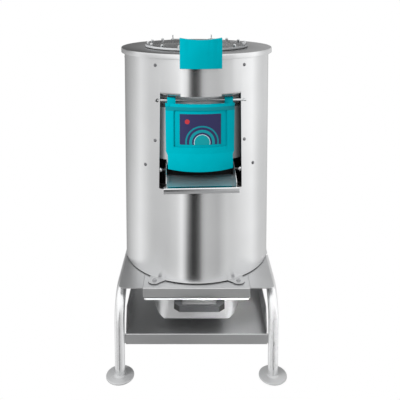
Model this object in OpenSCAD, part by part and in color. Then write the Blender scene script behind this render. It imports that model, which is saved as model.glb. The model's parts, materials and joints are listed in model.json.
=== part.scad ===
// Electric potato peeler: a stainless drum on a tubular stand, with a filter pan drawer below.
// Origin: on the floor, under the middle of the four feet. Front is -Y, right is +X, up is +Z.
// The drum axis is the Z axis. Drum pieces are drawn facing -Y and turned together by drum_turn.

/* [Drum] */
// Outer radius of the drum's shell
drum_r = 200; // [196:0.5:204]
// Turn of the drum on its base ring, seen from above, in degrees
drum_turn = 3; // [0:0.5:5]
// Height of the drum's rim above the floor
drum_top = 809.5; // [790:0.5:840]
// Sheet thickness of the shell and the rim
shell_t = 1.5; // [1:0.1:2]
// Outer radius of the rim that caps the shell
rim_r = 209; // [207:0.5:211]
// Height of the rim's skirt
rim_skirt = 13; // [10:0.5:16]
// Outer radius of the abrasive liner, which stands off the shell behind the hinge rod
liner_r = 165; // [160:0.5:165]
// Wall of the abrasive liner
liner_t = 4; // [3:0.5:5]
// Height of the peeling chamber's floor above the floor of the room
chamber_z = 456; // [450:0.5:460]

/* [Stand] */
// Height of the stand's top plate above the floor
stand_h = 224.5; // [220:0.5:230]
// Width of the top plate
plate_w = 389; // [385:1:392]
// Depth of the top plate
plate_d = 430; // [426:1:434]
// Distance between the side frames, tube centre to tube centre
frame_w = 383; // [381:0.5:385]
// Distance between the front and rear legs, tube centre to tube centre
frame_d = 450; // [444:1:456]
// Outer diameter of the frame's tube
tube_d = 25; // [22:0.5:26]
// Radius of the tube's bends, on its centreline
bend_r = 70; // [60:1:75]
// Diameter of the foot discs
foot_d = 70; // [60:1:76]
// Height of the lower shelf's top face
shelf_z = 110; // [100:1:112]
// Height of the shelf's front and rear hems
shelf_hem = 26.5; // [20:0.5:30]
// Height of the shelf's turned-up sides
shelf_side = 58; // [20:1:70]

/* [Filter pan] */
// Width of the pan across its rim
pan_w = 264; // [260:1:264]
// Depth of the pan across its rim, front to rear
pan_d = 325; // [320:1:326]
// Height of the pan
pan_h = 65; // [60:1:68]
// Width of the pan's handle
handle_w = 126; // [110:1:130]
// Offset of the handle to the right of the pan's middle
handle_shift = 7; // [0:1:8]

/* [Discharge door] */
// Width of the opening in the shell, at its upper edge
opening_w = 203.5; // [200:0.5:205]
// Widening of the opening on each side, from its upper to its lower edge
opening_flare = 3.5; // [0:0.5:5]
// Height of the opening's lower edge above the floor
opening_z0 = 465; // [463:0.5:467]
// Height of the opening's upper edge above the floor
opening_z1 = 703.5; // [703.5:0.5:706]
// Width of the door
door_w = 174.5; // [172:0.5:178]
// Height of the door's upper edge above the floor
door_z1 = 684; // [682:0.5:684]
// Height of the door's lower edge above the floor, at its middle
door_z0 = 519; // [516:0.5:521]
// Height of the hinge rod above the floor
hinge_z = 690; // [690:0.5:691]
// Distance of the hinge rod in front of the drum's axis
hinge_y = 169; // [169:0.1:169.5]
// Radius of the hinge rod
rod_r = 2.5; // [2:0.1:2.7]

/* [Lid] */
// Radius of the clear lid disc
lid_r = 143; // [140:0.5:145]
// Thickness of the lid disc
lid_t = 5; // [4:0.5:6]
// Radius of the feed opening under the lid
feed_r = 128; // [120:1:130]
// Width of the lid's grip
grip_w = 103; // [90:1:106]
// Height of the lid's grip
grip_h = 75; // [70:1:78]
// Height of the lid's hinge pins above the rim
lid_pin_h = 3.5; // [3.4:0.1:4]

/* [Drive] */
// Radius of the abrasive disc
disc_r = 155; // [150:0.5:156]
// Radius of the drive shaft
shaft_r = 12.5; // [12:0.1:13]
// Outer radius of the large pulley
pulley_r = 85; // [80:0.5:88]
// Outer radius of the motor's pulley
motor_pulley_r = 27; // [25:0.5:30]
// Distance between the drive shaft and the motor shaft
belt_centres = 120; // [118:0.5:122]
// Radius of the motor's body
motor_r = 58; // [54:0.5:58]

/* [Controls] */
// Width of the control box on the drum's rear
box_w = 150; // [140:1:156]
// Height of the control box
box_h = 145; // [140:1:150]
// Height of the control box's lower side above the floor
box_z = 545; // [540:1:550]
// Distance of the control box's cover from the drum's axis
cover_y = 246; // [244:0.5:247]

/* [Hidden] */

$fn = 96;
fine = 32;          // facets of small round pieces
eps = 0.01;         // overrun of a cut through a face
run = 0.05;         // radial running clearance
gap = 0.3;          // clearance between pieces that move past each other

steel = "#c4c6c8";
polished = "#dcdee0";
satin = "#b4b6b8";
teal = "#04acbe";
navy = "#32305a";
rubber = "#232323";
dark_plastic = "#4c4d4f";
zinc = "#c9cbcf";
stone = "#6b6660";
iron = "#5d6064";

// Levels, from the floor up
sheet_t = 2;                          // sheet of the stand
foot_t = 5;
ring_t = 2.5;                         // base ring, which leaves a shadow gap under the shell
plate_z = stand_h - sheet_t;          // underside of the top plate
run_z = plate_z - tube_d/2 - 0.2;     // centreline of the frame's upper run
leg_z = run_z - bend_r;               // where the bends start
shell_z = stand_h + ring_t;
deck_z = drum_top - shell_t;          // underside of the rim's deck
floor_t = 4;                          // chamber floor

// Filter pan
pan_rim_t = 5;
pan_front = plate_d/2 + 2;
pan_top = stand_h - 25.5;
pan_bottom = pan_top - pan_h;
pan_y = pan_d/2 - pan_front;          // middle of the pan
pan_flange = 10;                      // front and rear
pan_side = 22;                        // left and right
spigot_z = 166;                       // middle of the pan's drain spigot
apron_z = pan_top + 1.5;
carrier_w = 268;
carrier_y1 = 116;                     // rear end of the pan's carrier

// Door: radii from the drum's axis
door_in = 190;                        // inner face
door_face = 195.5;                    // raised frame
door_top_face = 193.5;                // strip along the upper edge, which clears the shell
door_recess = 192.5;
door_lip = 212;                       // lower edge of the bulge
ledge_z = 563;
sag_r = 820;                          // curve of the lower edge
seat_r = 186.7;                       // face that the door's gasket meets
seat_t = 4.7;
seat_z = 672;                         // upper edge of the seat
header_z = opening_z1 + 12;           // clears the door's upper edge as it swings
window = [144, 526, 664];             // chamber outlet: width, lower and upper height
ear_x = 72;
ear_w = 21;
ear_r = 9.5;
opening_x = 1.5;                      // middle of the opening, to the right of the door's
notch_z = 713;                        // top of the notches over the door's ears
notch_in = 51;                        // their inner sides, from the opening's middle
tab_bend = 8.5;                       // inner bend radius of the tabs that close the notches

// Chute
chute_half = 84.5;                    // half the space between its walls
chute_y = 240;                        // front edge
chute_z = 489;                        // floor's height there
chute_slope = 15;
chute_t = 1.5;
chute_back = 150;                     // rear ends of the walls, beside the seat
chute_wall_z = 534;                   // upper corner of the walls there
stud_y = 161;
stud_z = 510;
stud_r = 3;
lip_half = 91.7;

// Drive
drive_z = 314;                        // middle of the belt
belt_depth = 7;
belt_w = 8;
groove_depth = 9;
housing_r = 36;
bearing_r = 26;
bearing_w = 15;
bearing_low = 338;
bearing_high = 425;
hub_z = chamber_z + 2;
disc_z = 470;
disc_t = 10;
drain_at = 135;                       // distance of the drain pipe from the drum's axis
drain_r = 21;
motor_z0 = 345;
motor_z1 = 442;

// Lid
lid_z = drum_top + 2;
nut_ring_r = 135;
nut_step = 22.5;
lid_pin_y = 150;
lid_pin_z = drum_top + lid_pin_h;
lid_pin_r = 1.8;
lid_knuckle_r = 3;
lid_hinge_x = 57;                     // middles of the two hinges
lid_leaf_t = 1.2;
lid_studs = [[-65, 122.5], [52, 128]];
lid_stud_r = 1.7;
grip_in = 214;
grip_t = 4;
grip_z0 = drum_top - 34.5;
grip_scoop = 4.5;                     // dip of the grip's upper edge
strap_half = 30;                      // strap that carries the grip
strap_rise = 22;

// Controls
button_r = 10.5;
button_z = box_z + 105;
button_x = 32;
knob_z = box_z + 45;
gland_y = 222;
gland_z = box_z + 30;
inlet_az = 145;
inlet_z = 760;
inlet_r = 234;                        // distance of the inlet's mouth from the drum's axis

// ---------------------------------------------------------------- helpers

// Everything that sits on the base ring and faces the door's way
module on_drum() {
  rotate([0, 0, drum_turn]) children();
}

// Places children at azimuth a (0 is the front, positive to the right), with -Y pointing outwards
module at_az(a, r, z) {
  rotate([0, 0, a]) translate([0, -r, z]) children();
}

module both_sides() {
  children();
  mirror([1, 0, 0]) children();
}

module tube(r_out, r_in, h) {
  difference() {
    cylinder(r = r_out, h = h);
    translate([0, 0, -eps]) cylinder(r = r_in, h = h + 2*eps);
  }
}

// Sector of a ring wall, half_az degrees to each side of the front
module arc_wall(r_in, r_out, z0, z1, half_az) {
  rotate([0, 0, -90 - half_az])
    rotate_extrude(angle = 2*half_az)
      translate([r_in, z0]) square([r_out - r_in, z1 - z0]);
}

module rod_x(r, x0, x1) {
  translate([x0, 0, 0]) rotate([0, 90, 0]) cylinder(r = r, h = x1 - x0, $fn = fine);
}

// Profile in the YZ plane, drawn as [y, z], from x0 to x1
module extrude_x(x0, x1) {
  translate([x0, 0, 0]) rotate([90, 0, 90]) linear_extrude(x1 - x0) children();
}

// Profile in the XZ plane, drawn as [x, z], from y0 to y1
module extrude_y(y0, y1) {
  translate([0, y1, 0]) rotate([90, 0, 0]) linear_extrude(y1 - y0) children();
}

module rounded_rect(w, d, r) {
  union() {
    square([w - 2*r, d], center = true);
    square([w, d - 2*r], center = true);
    for (sx = [-1, 1], sy = [-1, 1])
      translate([sx*(w/2 - r), sy*(d/2 - r)]) circle(r = r, $fn = fine);
  }
}

// Acorn nut on a short stud, standing on z = 0
module acorn_nut(r, h) {
  cylinder(r = r, h = h*0.55, $fn = 6);
  translate([0, 0, h*0.55]) cylinder(r = r*0.8, h = h*0.15, $fn = fine);
  translate([0, 0, h*0.7])
    intersection() {
      sphere(r = r*0.8, $fn = fine);
      translate([-r, -r, 0]) cube([2*r, 2*r, h*0.3]);
    }
}

// Half the width of the opening in the shell at height z
function opening_half(z) =
  opening_w/2 + opening_flare*(opening_z1 - z)/(opening_z1 - opening_z0);

// Distance of the opening's edge from the door's middle, on side s (-1 left, 1 right)
function cheek_x(s, z) = opening_half(z) + s*opening_x;

// Outline between two heights that follows the opening's slanted sides, grown by g
module opening_shape(z0, z1, g) {
  extrude_y(-drum_r - 5, -90)
    polygon([[opening_x - opening_half(z0) - g, z0], [opening_x + opening_half(z0) + g, z0],
             [opening_x + opening_half(z1) + g, z1], [opening_x - opening_half(z1) - g, z1]]);
}

// ---------------------------------------------------------------- stand

module tube_section() {
  difference() {
    circle(r = tube_d/2, $fn = 48);
    circle(r = tube_d/2 - 1.5, $fn = 48);
  }
}

// One inverted U of bent tube with the two flat lugs that carry the top plate
module side_frame() {
  for (end = [0, 1]) mirror([0, end, 0]) {
    translate([0, frame_d/2, foot_t]) linear_extrude(leg_z - foot_t) tube_section();
    translate([0, frame_d/2 - bend_r, leg_z])
      rotate([90, 0, 90]) rotate_extrude(angle = 90) translate([bend_r, 0]) tube_section();
    translate([-23.5, 152, plate_z - 3]) cube([22, 56, 2.9]);
  }
  translate([0, frame_d/2 - bend_r, run_z])
    rotate([90, 0, 0]) linear_extrude(frame_d - 2*bend_r) tube_section();
}

module side_frame_left() {
  color(polished) translate([-frame_w/2, 0, 0]) mirror([1, 0, 0]) side_frame();
}

module side_frame_right() {
  color(polished) translate([frame_w/2, 0, 0]) side_frame();
}

// Flat disc with a bevelled edge and the weld bead round the leg
module foot() {
  rotate_extrude()
    polygon([[0, 0], [foot_d/2 - 1, 0], [foot_d/2, 1], [foot_d/2, 3.2],
             [foot_d/2 - 1.8, foot_t], [0, foot_t]]);
  translate([0, 0, foot_t])
    rotate_extrude($fn = 48)
      polygon([[tube_d/2, 0], [tube_d/2 + 3.5, 0], [tube_d/2 + 2, 2.2], [tube_d/2, 3.5]]);
}

module foot_at(sx, sy) {
  color(satin) translate([sx*frame_w/2, sy*frame_d/2, 0]) foot();
}

module foot_front_left() { foot_at(-1, -1); }
module foot_front_right() { foot_at(1, -1); }
module foot_rear_left() { foot_at(-1, 1); }
module foot_rear_right() { foot_at(1, 1); }

// Places children at the four bolt holes of the base ring, -Y outwards
module at_base_bolts() {
  for (a = [-30, 30, 150, -150]) at_az(a, 214, 0) children();
}

module stand_top_plate() {
  corner = 8;
  half_w = plate_w/2;
  half_d = plate_d/2;
  color(steel)
    difference() {
      translate([0, 0, plate_z])
        linear_extrude(sheet_t)
          polygon([[-half_w, corner - half_d], [corner - half_w, -half_d],
                   [half_w - corner, -half_d], [half_w, corner - half_d],
                   [half_w, half_d - corner], [half_w - corner, half_d],
                   [corner - half_w, half_d], [-half_w, half_d - corner]]);
      translate([-carrier_w/2 - 0.7, -half_d - 1, plate_z - 1])
        cube([carrier_w + 1.4, half_d + 1 + carrier_y1 + 0.7, sheet_t + 2]);
      at_base_bolts() translate([0, 0, plate_z - 1]) cylinder(r = 4.3, h = 4, $fn = fine);
    }
}

// Shelf with turned-up sides, turned-down front and rear hems, and a tab to each leg
module lower_shelf() {
  half_w = frame_w/2 - tube_d/2 - 2.5;
  half_d = frame_d/2;
  t = 1.5;
  tab = 2.4;
  color(satin)
    union() {
      extrude_x(-half_w, half_w)
        polygon([[-half_d, shelf_z - shelf_hem], [t - half_d, shelf_z - shelf_hem],
                 [t - half_d, shelf_z - t], [half_d - t, shelf_z - t],
                 [half_d - t, shelf_z - shelf_hem], [half_d, shelf_z - shelf_hem],
                 [half_d, shelf_z - 1], [half_d - 1, shelf_z], [1 - half_d, shelf_z],
                 [-half_d, shelf_z - 1]]);
      both_sides() {
        extrude_x(half_w - t, half_w)
          polygon([[3 - half_d, shelf_z - t], [half_d - 3, shelf_z - t], [half_d - 3, shelf_z + 12],
                   [half_d - 21, shelf_z + shelf_side], [21 - half_d, shelf_z + shelf_side],
                   [3 - half_d, shelf_z + 12]]);
        for (y = [-half_d, half_d - 8])
          translate([half_w - t, y, shelf_z - shelf_hem + 3]) cube([t + tab, 8, 20]);
      }
    }
}

// Folded channel let into the top plate: the pan hangs in it on two rails
module pan_carrier() {
  half_w = carrier_w/2;
  front = plate_d/2;
  side_t = 1.2;
  top_t = sheet_t;
  color(steel)
    difference() {
      union() {
        extrude_x(-half_w, half_w)
          polygon([[-front - side_t, apron_z], [-front, apron_z], [-front, stand_h - top_t - 1],
                   [1 - front, stand_h - top_t], [carrier_y1, stand_h - top_t],
                   [carrier_y1, stand_h], [0.8 - front, stand_h], [-front - 0.6, stand_h - 0.5],
                   [-front - side_t, stand_h - 2]]);
        translate([-half_w, carrier_y1 - side_t, apron_z])
          cube([carrier_w, side_t, stand_h - apron_z]);
        both_sides() {
          translate([half_w - side_t, -front, apron_z])
            cube([side_t, front + carrier_y1, stand_h - apron_z]);
          translate([half_w - side_t, 20 - front, plate_z - side_t]) cube([16, front + 90, side_t]);
        }
      }
      at_base_bolts() translate([0, 0, plate_z - 2]) cylinder(r = 4.3, h = 5, $fn = fine);
      on_drum() translate([0, -drain_at, stand_h - 5]) cylinder(r = drain_r + 0.5, h = 10, $fn = 48);
    }
}

// Angle rail under the pan's rim, welded to the outside of the carrier
module pan_rail() {
  y0 = 17 - plate_d/2;
  extrude_y(y0, carrier_y1)
    polygon([[117, pan_top - pan_rim_t - 2.1], [135.5, pan_top - pan_rim_t - 2.1],
             [135.5, apron_z + 16], [134, apron_z + 16], [134, pan_top - pan_rim_t - 0.6],
             [117, pan_top - pan_rim_t - 0.6]]);
}

module pan_rail_right() { color(satin) pan_rail(); }
module pan_rail_left() { color(satin) mirror([1, 0, 0]) pan_rail(); }

module base_bolts() {
  color(zinc)
    at_base_bolts() {
      translate([0, 0, shell_z]) cylinder(r = 6.2, h = 1, $fn = fine);
      translate([0, 0, shell_z + 1]) cylinder(r = 5, h = 3, $fn = 6);
      translate([0, 0, plate_z - 12]) cylinder(r = 4, h = shell_z - plate_z + 12.5, $fn = fine);
      translate([0, 0, plate_z - 7]) cylinder(r = 6.5, h = 7, $fn = 6);
    }
}

// ---------------------------------------------------------------- drum casing

// Bottom of the drum: disc, four bolting ears and the collar inside the shell
module base_ring() {
  collar_r = drum_r - shell_t;
  color(steel)
    difference() {
      union() {
        translate([0, 0, stand_h]) cylinder(r = drum_r - 2, h = ring_t);
        at_base_bolts()
          translate([0, 0, stand_h])
            linear_extrude(ring_t)
              union() {
                circle(r = 16, $fn = 48);
                polygon([[-16, 0], [16, 0], [27, 24], [-27, 24]]);
              }
        translate([0, 0, shell_z - 1]) tube(collar_r, collar_r - 2, 17);
      }
      at_base_bolts() translate([0, 0, stand_h - 1]) cylinder(r = 4.3, h = 6, $fn = fine);
      on_drum() translate([0, -drain_at, stand_h - 1]) cylinder(r = drain_r + 0.5, h = 6, $fn = 48);
    }
}

// Places children at the screws of the shell, -Y outwards
module at_shell_screws() {
  upper_z = drum_top - 31;
  for (a = [-154, -94, -34, 34, 94, 154]) at_az(a, drum_r, upper_z) children();
  for (s = [-1, 1]) {
    at_az(s*34.5, drum_r, 587.5) children();
    at_az(s*44, drum_r, 519) children();
  }
}

// Blocks over the door's ears, from the opening's upper edge to height top, with their sides set in by g
module ear_blocks(g, top) {
  half = opening_half(opening_z1);
  translate([opening_x, 0, 0])
    both_sides()
      extrude_y(-drum_r - 5, -90)
        translate([notch_in + g, opening_z1 - 1]) square([half - notch_in - 2*g, top - opening_z1 + 1]);
}

// Tabs of the shell's sheet, bent inwards over the door's ears
module ear_tabs() {
  outer = tab_bend + shell_t;
  intersection() {
    rotate_extrude()
      translate([drum_r - outer, notch_z])
        intersection() {
          difference() {
            circle(r = outer);
            circle(r = tab_bend);
          }
          translate([0, -outer - 1]) square(outer + 1);
        }
    ear_blocks(0.6, notch_z + 2);
  }
}

module outer_shell() {
  color(steel)
    on_drum() {
      difference() {
        translate([0, 0, shell_z]) tube(drum_r, drum_r - shell_t, deck_z - shell_z);
        opening_shape(opening_z0, opening_z1, 0);
        ear_blocks(0, notch_z);
        translate([0, -hinge_y, hinge_z]) rod_x(rod_r + 0.2, -116, 116);
        at_shell_screws() rotate([90, 0, 0]) cylinder(r = 2.1, h = 12, center = true, $fn = fine);
        at_az(inlet_az, drum_r, inlet_z) rotate([90, 0, 0]) cylinder(r = 10.6, h = 20, center = true);
      }
      ear_tabs();
    }
}

// Deck with a skirt over the shell, a throat collar and the ring that holds the liner's top
module top_rim() {
  edge = 1.2;
  color(polished)
    on_drum()
      rotate_extrude($fn = 128)
        polygon([[feed_r, drum_top - 12], [feed_r + shell_t, drum_top - 12],
                 [feed_r + shell_t, deck_z], [liner_r - liner_t - 2, deck_z],
                 [liner_r - liner_t - 2, deck_z - 9], [liner_r - liner_t - 0.5, deck_z - 9],
                 [liner_r - liner_t - 0.5, deck_z], [rim_r - shell_t, deck_z],
                 [rim_r - shell_t, drum_top - rim_skirt], [rim_r, drum_top - rim_skirt],
                 [rim_r, drum_top - edge], [rim_r - 0.35*edge, drum_top - 0.35*edge],
                 [rim_r - edge, drum_top], [feed_r + edge, drum_top],
                 [feed_r, drum_top - edge]]);
}

// Way from the chamber to the door, grown by g on every side
module chamber_window(g) {
  translate([-window[0]/2 - g, -drum_r - 10, window[1] - g])
    cube([window[0] + 2*g, 90, window[2] - window[1] + 2*g]);
}

module abrasive_liner() {
  color(stone)
    on_drum()
      difference() {
        translate([0, 0, chamber_z]) tube(liner_r, liner_r - liner_t, deck_z - chamber_z);
        chamber_window(chute_t);
        at_az(inlet_az, liner_r, inlet_z) rotate([90, 0, 0]) cylinder(r = 10.6, h = 30, center = true);
      }
}

module chamber_floor() {
  color(steel)
    on_drum()
      difference() {
        translate([0, 0, chamber_z - floor_t]) cylinder(r = drum_r - shell_t, h = floor_t);
        translate([0, 0, chamber_z - floor_t - 1]) cylinder(r = 16, h = floor_t + 2);
        translate([0, -drain_at, chamber_z - floor_t - 1]) cylinder(r = drain_r, h = floor_t + 2);
      }
}

// Lining of the opening: seat for the door, short tunnel to the chamber, cheeks, sill and header
module door_frame() {
  t = 1.5;
  narrow = chute_half - 0.5;
  low_z = 500;
  bottom = opening_z0 - t;
  color(satin)
    on_drum()
      difference() {
        union() {
          intersection() {
            arc_wall(seat_r - seat_t, seat_r, low_z, seat_z, 42);
            union() {
              opening_shape(chute_wall_z + 4, seat_z + 1, t/2);
              extrude_y(-drum_r, -100)
                translate([-narrow, low_z - 1]) square([2*narrow, chute_wall_z + 6 - low_z]);
            }
          }
          intersection() {
            arc_wall(liner_r - 1, seat_r - 1, window[1] - t, window[2] + t, 40);
            chamber_window(t);
          }
          intersection() {
            arc_wall(liner_r, drum_r - shell_t, bottom, header_z + t, 44);
            difference() {
              opening_shape(bottom, header_z + t, t);
              opening_shape(opening_z0, header_z, 0);
            }
          }
        }
        chamber_window(0);
        translate([0, -hinge_y, hinge_z]) rod_x(rod_r + run, -116, 116);
        translate([0, -stud_y, stud_z]) {
          rod_x(stud_r + 0.1, -120, -chute_half);
          rod_x(stud_r + 0.1, chute_half, 120);
        }
      }
}

// Sloping trough with two side walls and a rolled front lip
module discharge_chute() {
  rise = tan(chute_slope);
  back_z = chute_z + (chute_y - chute_back)*rise;
  color(polished)
    on_drum()
      difference() {
        union() {
          difference() {
            extrude_x(-chute_half - 0.5, chute_half + 0.5)
              polygon([[-chute_y, chute_z - chute_t], [-chute_back, back_z - chute_t],
                       [-chute_back, back_z], [-chute_y, chute_z]]);
            translate([0, 0, 400]) cylinder(r = seat_r + run, h = 200);
          }
          extrude_x(-lip_half, lip_half)
            polygon([[-chute_y - 1.6, chute_z - 13], [-chute_y - 0.4, chute_z - 13],
                     [-chute_y - 0.4, chute_z - 2], [9 - chute_y, chute_z + 9*rise - chute_t],
                     [9 - chute_y, chute_z + 9*rise], [-chute_y, chute_z + 0.6],
                     [-chute_y - 1.6, chute_z - 1]]);
          translate([0, 0.2 - chute_y, chute_z - 0.6]) rod_x(1.9, -lip_half, lip_half);
          both_sides()
            extrude_x(chute_half, chute_half + chute_t)
              polygon([[3 - chute_y, chute_z], [2 - chute_y, chute_z + 12],
                       [4 - chute_y, chute_z + 14.5], [-173, chute_wall_z - 4],
                       [-chute_back, chute_wall_z], [-chute_back, stud_z - 12],
                       [-172, stud_z - 12]]);
        }
        both_sides()
          translate([0, -stud_y, stud_z]) rod_x(stud_r + 0.1, chute_half - 5, chute_half + 5);
      }
}

// Two studs between the chute's walls and the cheeks, each with a domed nut
module chute_bolts() {
  nut_r = 6.5;
  color(zinc)
    on_drum()
      for (s = [-1, 1]) {
        outer = cheek_x(s, stud_z) - 0.15;
        mirror([s < 0 ? 1 : 0, 0, 0])
          translate([0, -stud_y, stud_z]) {
            rod_x(stud_r, chute_half, outer + 1.5);
            translate([outer, 0, 0])
              rotate([0, -90, 0])
                rotate_extrude($fn = fine)
                  polygon(concat(
                    [[0, 0], [nut_r, 0]],
                    [for (a = [0 : 15 : 90]) [nut_r*cos(a), 3 + nut_r*sin(a)]]));
            rod_x(5.5, chute_half + chute_t, chute_half + chute_t + 4);
          }
      }
}

module shell_screws() {
  color(zinc)
    on_drum()
      at_shell_screws()
        rotate([90, 0, 0]) {
          translate([0, 0, -6]) cylinder(r = 2, h = 6.2, $fn = fine);
          rotate_extrude($fn = fine)
            polygon([[0, 0], [4.2, 0], [4.2, 0.8], [3.4, 1.9], [1.8, 2.5], [0, 2.6]]);
        }
}

module door_hinge_rod() {
  color(polished)
    on_drum()
      translate([0, -hinge_y, hinge_z]) {
        rod_x(rod_r, -112, 113);
        translate([114, 0, 0]) sphere(r = 3.6, $fn = fine);
      }
}

module rod_clip() {
  color(rubber)
    on_drum()
      translate([-112.6, -hinge_y, hinge_z])
        difference() {
          union() {
            rotate([0, 90, 0]) cylinder(r1 = 1.4, r2 = 4, h = 4, $fn = fine);
            translate([4, 0, 0]) rotate([0, 90, 0]) cylinder(r = 4.6, h = 1, $fn = fine);
          }
          rod_x(rod_r, 0.6, 8);
          translate([-5, 0.3, -8]) cube([20, 10, 16]);
        }
}

module hinge_spacers() {
  inner = ear_x + ear_w/2 + gap;
  color(polished)
    on_drum()
      for (s = [-1, 1])
        mirror([s < 0 ? 1 : 0, 0, 0])
          translate([0, -hinge_y, hinge_z])
            difference() {
              rod_x(3.7, inner, cheek_x(s, hinge_z) - 0.2);
              rod_x(rod_r, inner - 1, opening_w/2 + 4);
            }
}

module drain_pipe() {
  color(steel)
    on_drum()
      translate([0, -drain_at, 0])
        union() {
          translate([0, 0, stand_h - 9]) tube(drain_r, drain_r - 1.5, chamber_z - stand_h + 9 - floor_t);
          translate([0, 0, chamber_z - floor_t]) tube(drain_r, drain_r - 1.5, floor_t);
        }
}

// Hose nozzle through the shell and the liner, with its hexagonal flange nut
module water_inlet() {
  color(zinc)
    on_drum()
      at_az(inlet_az, 0, inlet_z)
        rotate([90, 0, 0])
          difference() {
            union() {
              translate([0, 0, liner_r - 7]) cylinder(r = 10.4, h = inlet_r - liner_r + 7, $fn = 48);
              translate([0, 0, drum_r + 0.4]) cylinder(r = 17, h = 2, $fn = 48);
              translate([0, 0, drum_r + 2.4]) cylinder(r = 15.5, h = 7, $fn = 6);
            }
            translate([0, 0, liner_r - 8]) cylinder(r = 7.5, h = inlet_r - liner_r + 9, $fn = 48);
          }
}

// ---------------------------------------------------------------- discharge door

// Front outline of the door, upper edge to curved lower edge
module door_outline(inset) {
  top = door_z1 - inset;
  wide = door_w/2 - inset;
  narrow = door_w/2 - 5.5 - inset;
  intersection() {
    extrude_y(-drum_r - 30, -130)
      polygon([[-wide, top], [wide, top], [wide - 1, ledge_z], [narrow, ledge_z - 9],
               [narrow - 1, 500], [1 - narrow, 500], [-narrow, ledge_z - 9],
               [1 - wide, ledge_z]]);
    translate([0, 0, door_z0 + sag_r])
      rotate([90, 0, 0]) cylinder(r = sag_r - inset, h = 300, $fn = 180);
  }
}

// Moulded door: raised frame, stepped recess, bulged lower scoop and two hinge ears
module door_panel() {
  half_az = 28;
  color(teal)
    on_drum()
      difference() {
        union() {
          intersection() {
            rotate([0, 0, -90 - half_az])
              rotate_extrude(angle = 2*half_az)
                polygon([[door_in, 505], [door_lip, 505], [door_lip, 520], [door_lip - 1.2, 527],
                         [door_lip - 4, 538], [door_lip - 8.5, 550], [door_lip - 13.5, 559],
                         [door_face + 2, ledge_z - 2], [door_face + 2, ledge_z + 2],
                         [door_face, ledge_z + 5], [door_face, 666], [door_face - 1, 669],
                         [door_face - 1, 675], [door_top_face, 676.5],
                         [door_top_face, door_z1 - 1.5], [door_top_face - 1.5, door_z1],
                         [door_in, door_z1]]);
            door_outline(0);
          }
          both_sides()
            intersection() {
              translate([ear_x - ear_w/2, 0, 0])
                union() {
                  translate([0, -hinge_y, hinge_z]) rod_x(ear_r, 0, ear_w);
                  translate([0, -hinge_y - ear_r, seat_z + 4])
                    cube([ear_w, ear_r + 3, hinge_z - seat_z - 4]);
                }
              translate([0, 0, 600]) cylinder(r = door_face - 0.5, h = 120);
            }
        }
        // recess that holds the label, with a second shallow step round it
        intersection() {
          arc_wall(door_recess, door_lip, ledge_z, 690, half_az);
          extrude_y(-drum_r - 30, -130)
            translate([0, 621.5]) rounded_rect(133, 93, 4);
        }
        // inside of the scoop
        intersection() {
          rotate([0, 0, -90 - half_az])
            rotate_extrude(angle = 2*half_az)
              polygon([[door_in - 5, 505], [door_lip - 4, 505], [door_lip - 4, 520],
                       [door_lip - 8, 538], [door_lip - 17.5, 558], [door_in + 1, 560],
                       [door_in - 5, 560]]);
          door_outline(5);
        }
        translate([0, -hinge_y, hinge_z]) rod_x(rod_r + run, -100, 100);
      }
}

module door_label() {
  half_az = asin(51.5/door_recess);
  color(navy)
    on_drum() arc_wall(door_recess, door_recess + 0.6, 582, 659, half_az);
}

// Rubber frame between the door's inner face and its seat
module door_gasket() {
  color(rubber)
    on_drum()
      difference() {
        intersection() {
          arc_wall(seat_r + gap, door_in, 505, seat_z - 2, 28);
          door_outline(3);
        }
        difference() {
          door_outline(9);
          translate([-100, -drum_r - 40, seat_z - 8]) cube([200, 100, 40]);
        }
      }
}

// ---------------------------------------------------------------- lid

// Places children at the nuts of the lid's ring
module at_lid_nuts() {
  for (s = [-1, 1], k = [1 : 6]) at_az(s*k*nut_step, nut_ring_r, 0) children();
}

module lid_disc() {
  color([0.55, 0.6, 0.62, 0.5])
    on_drum()
      difference() {
        translate([0, 0, lid_z])
          rotate_extrude($fn = 128)
            polygon([[0, 0], [lid_r, 0], [lid_r, lid_t - 0.8], [lid_r - 0.8, lid_t], [0, lid_t]]);
        at_lid_nuts() translate([0, 0, lid_z - 1]) cylinder(r = 2.6, h = lid_t + 2, $fn = fine);
        for (p = lid_studs)
          translate([p[0], p[1], lid_z + 1]) cylinder(r = lid_stud_r + run, h = lid_t, $fn = fine);
      }
}

module lid_gasket() {
  color(rubber)
    on_drum()
      difference() {
        translate([0, 0, drum_top + gap]) tube(lid_r - 2, feed_r + 1, lid_z - drum_top - gap);
        at_lid_nuts() translate([0, 0, drum_top]) cylinder(r = 2.6, h = 4, $fn = fine);
      }
}

module lid_nuts() {
  color(zinc)
    on_drum()
      at_lid_nuts() {
        translate([0, 0, lid_z + lid_t]) acorn_nut(4.4, 7);
        translate([0, 0, drum_top + gap]) cylinder(r = 2.5, h = lid_z + lid_t - drum_top, $fn = fine);
      }
}

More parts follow.
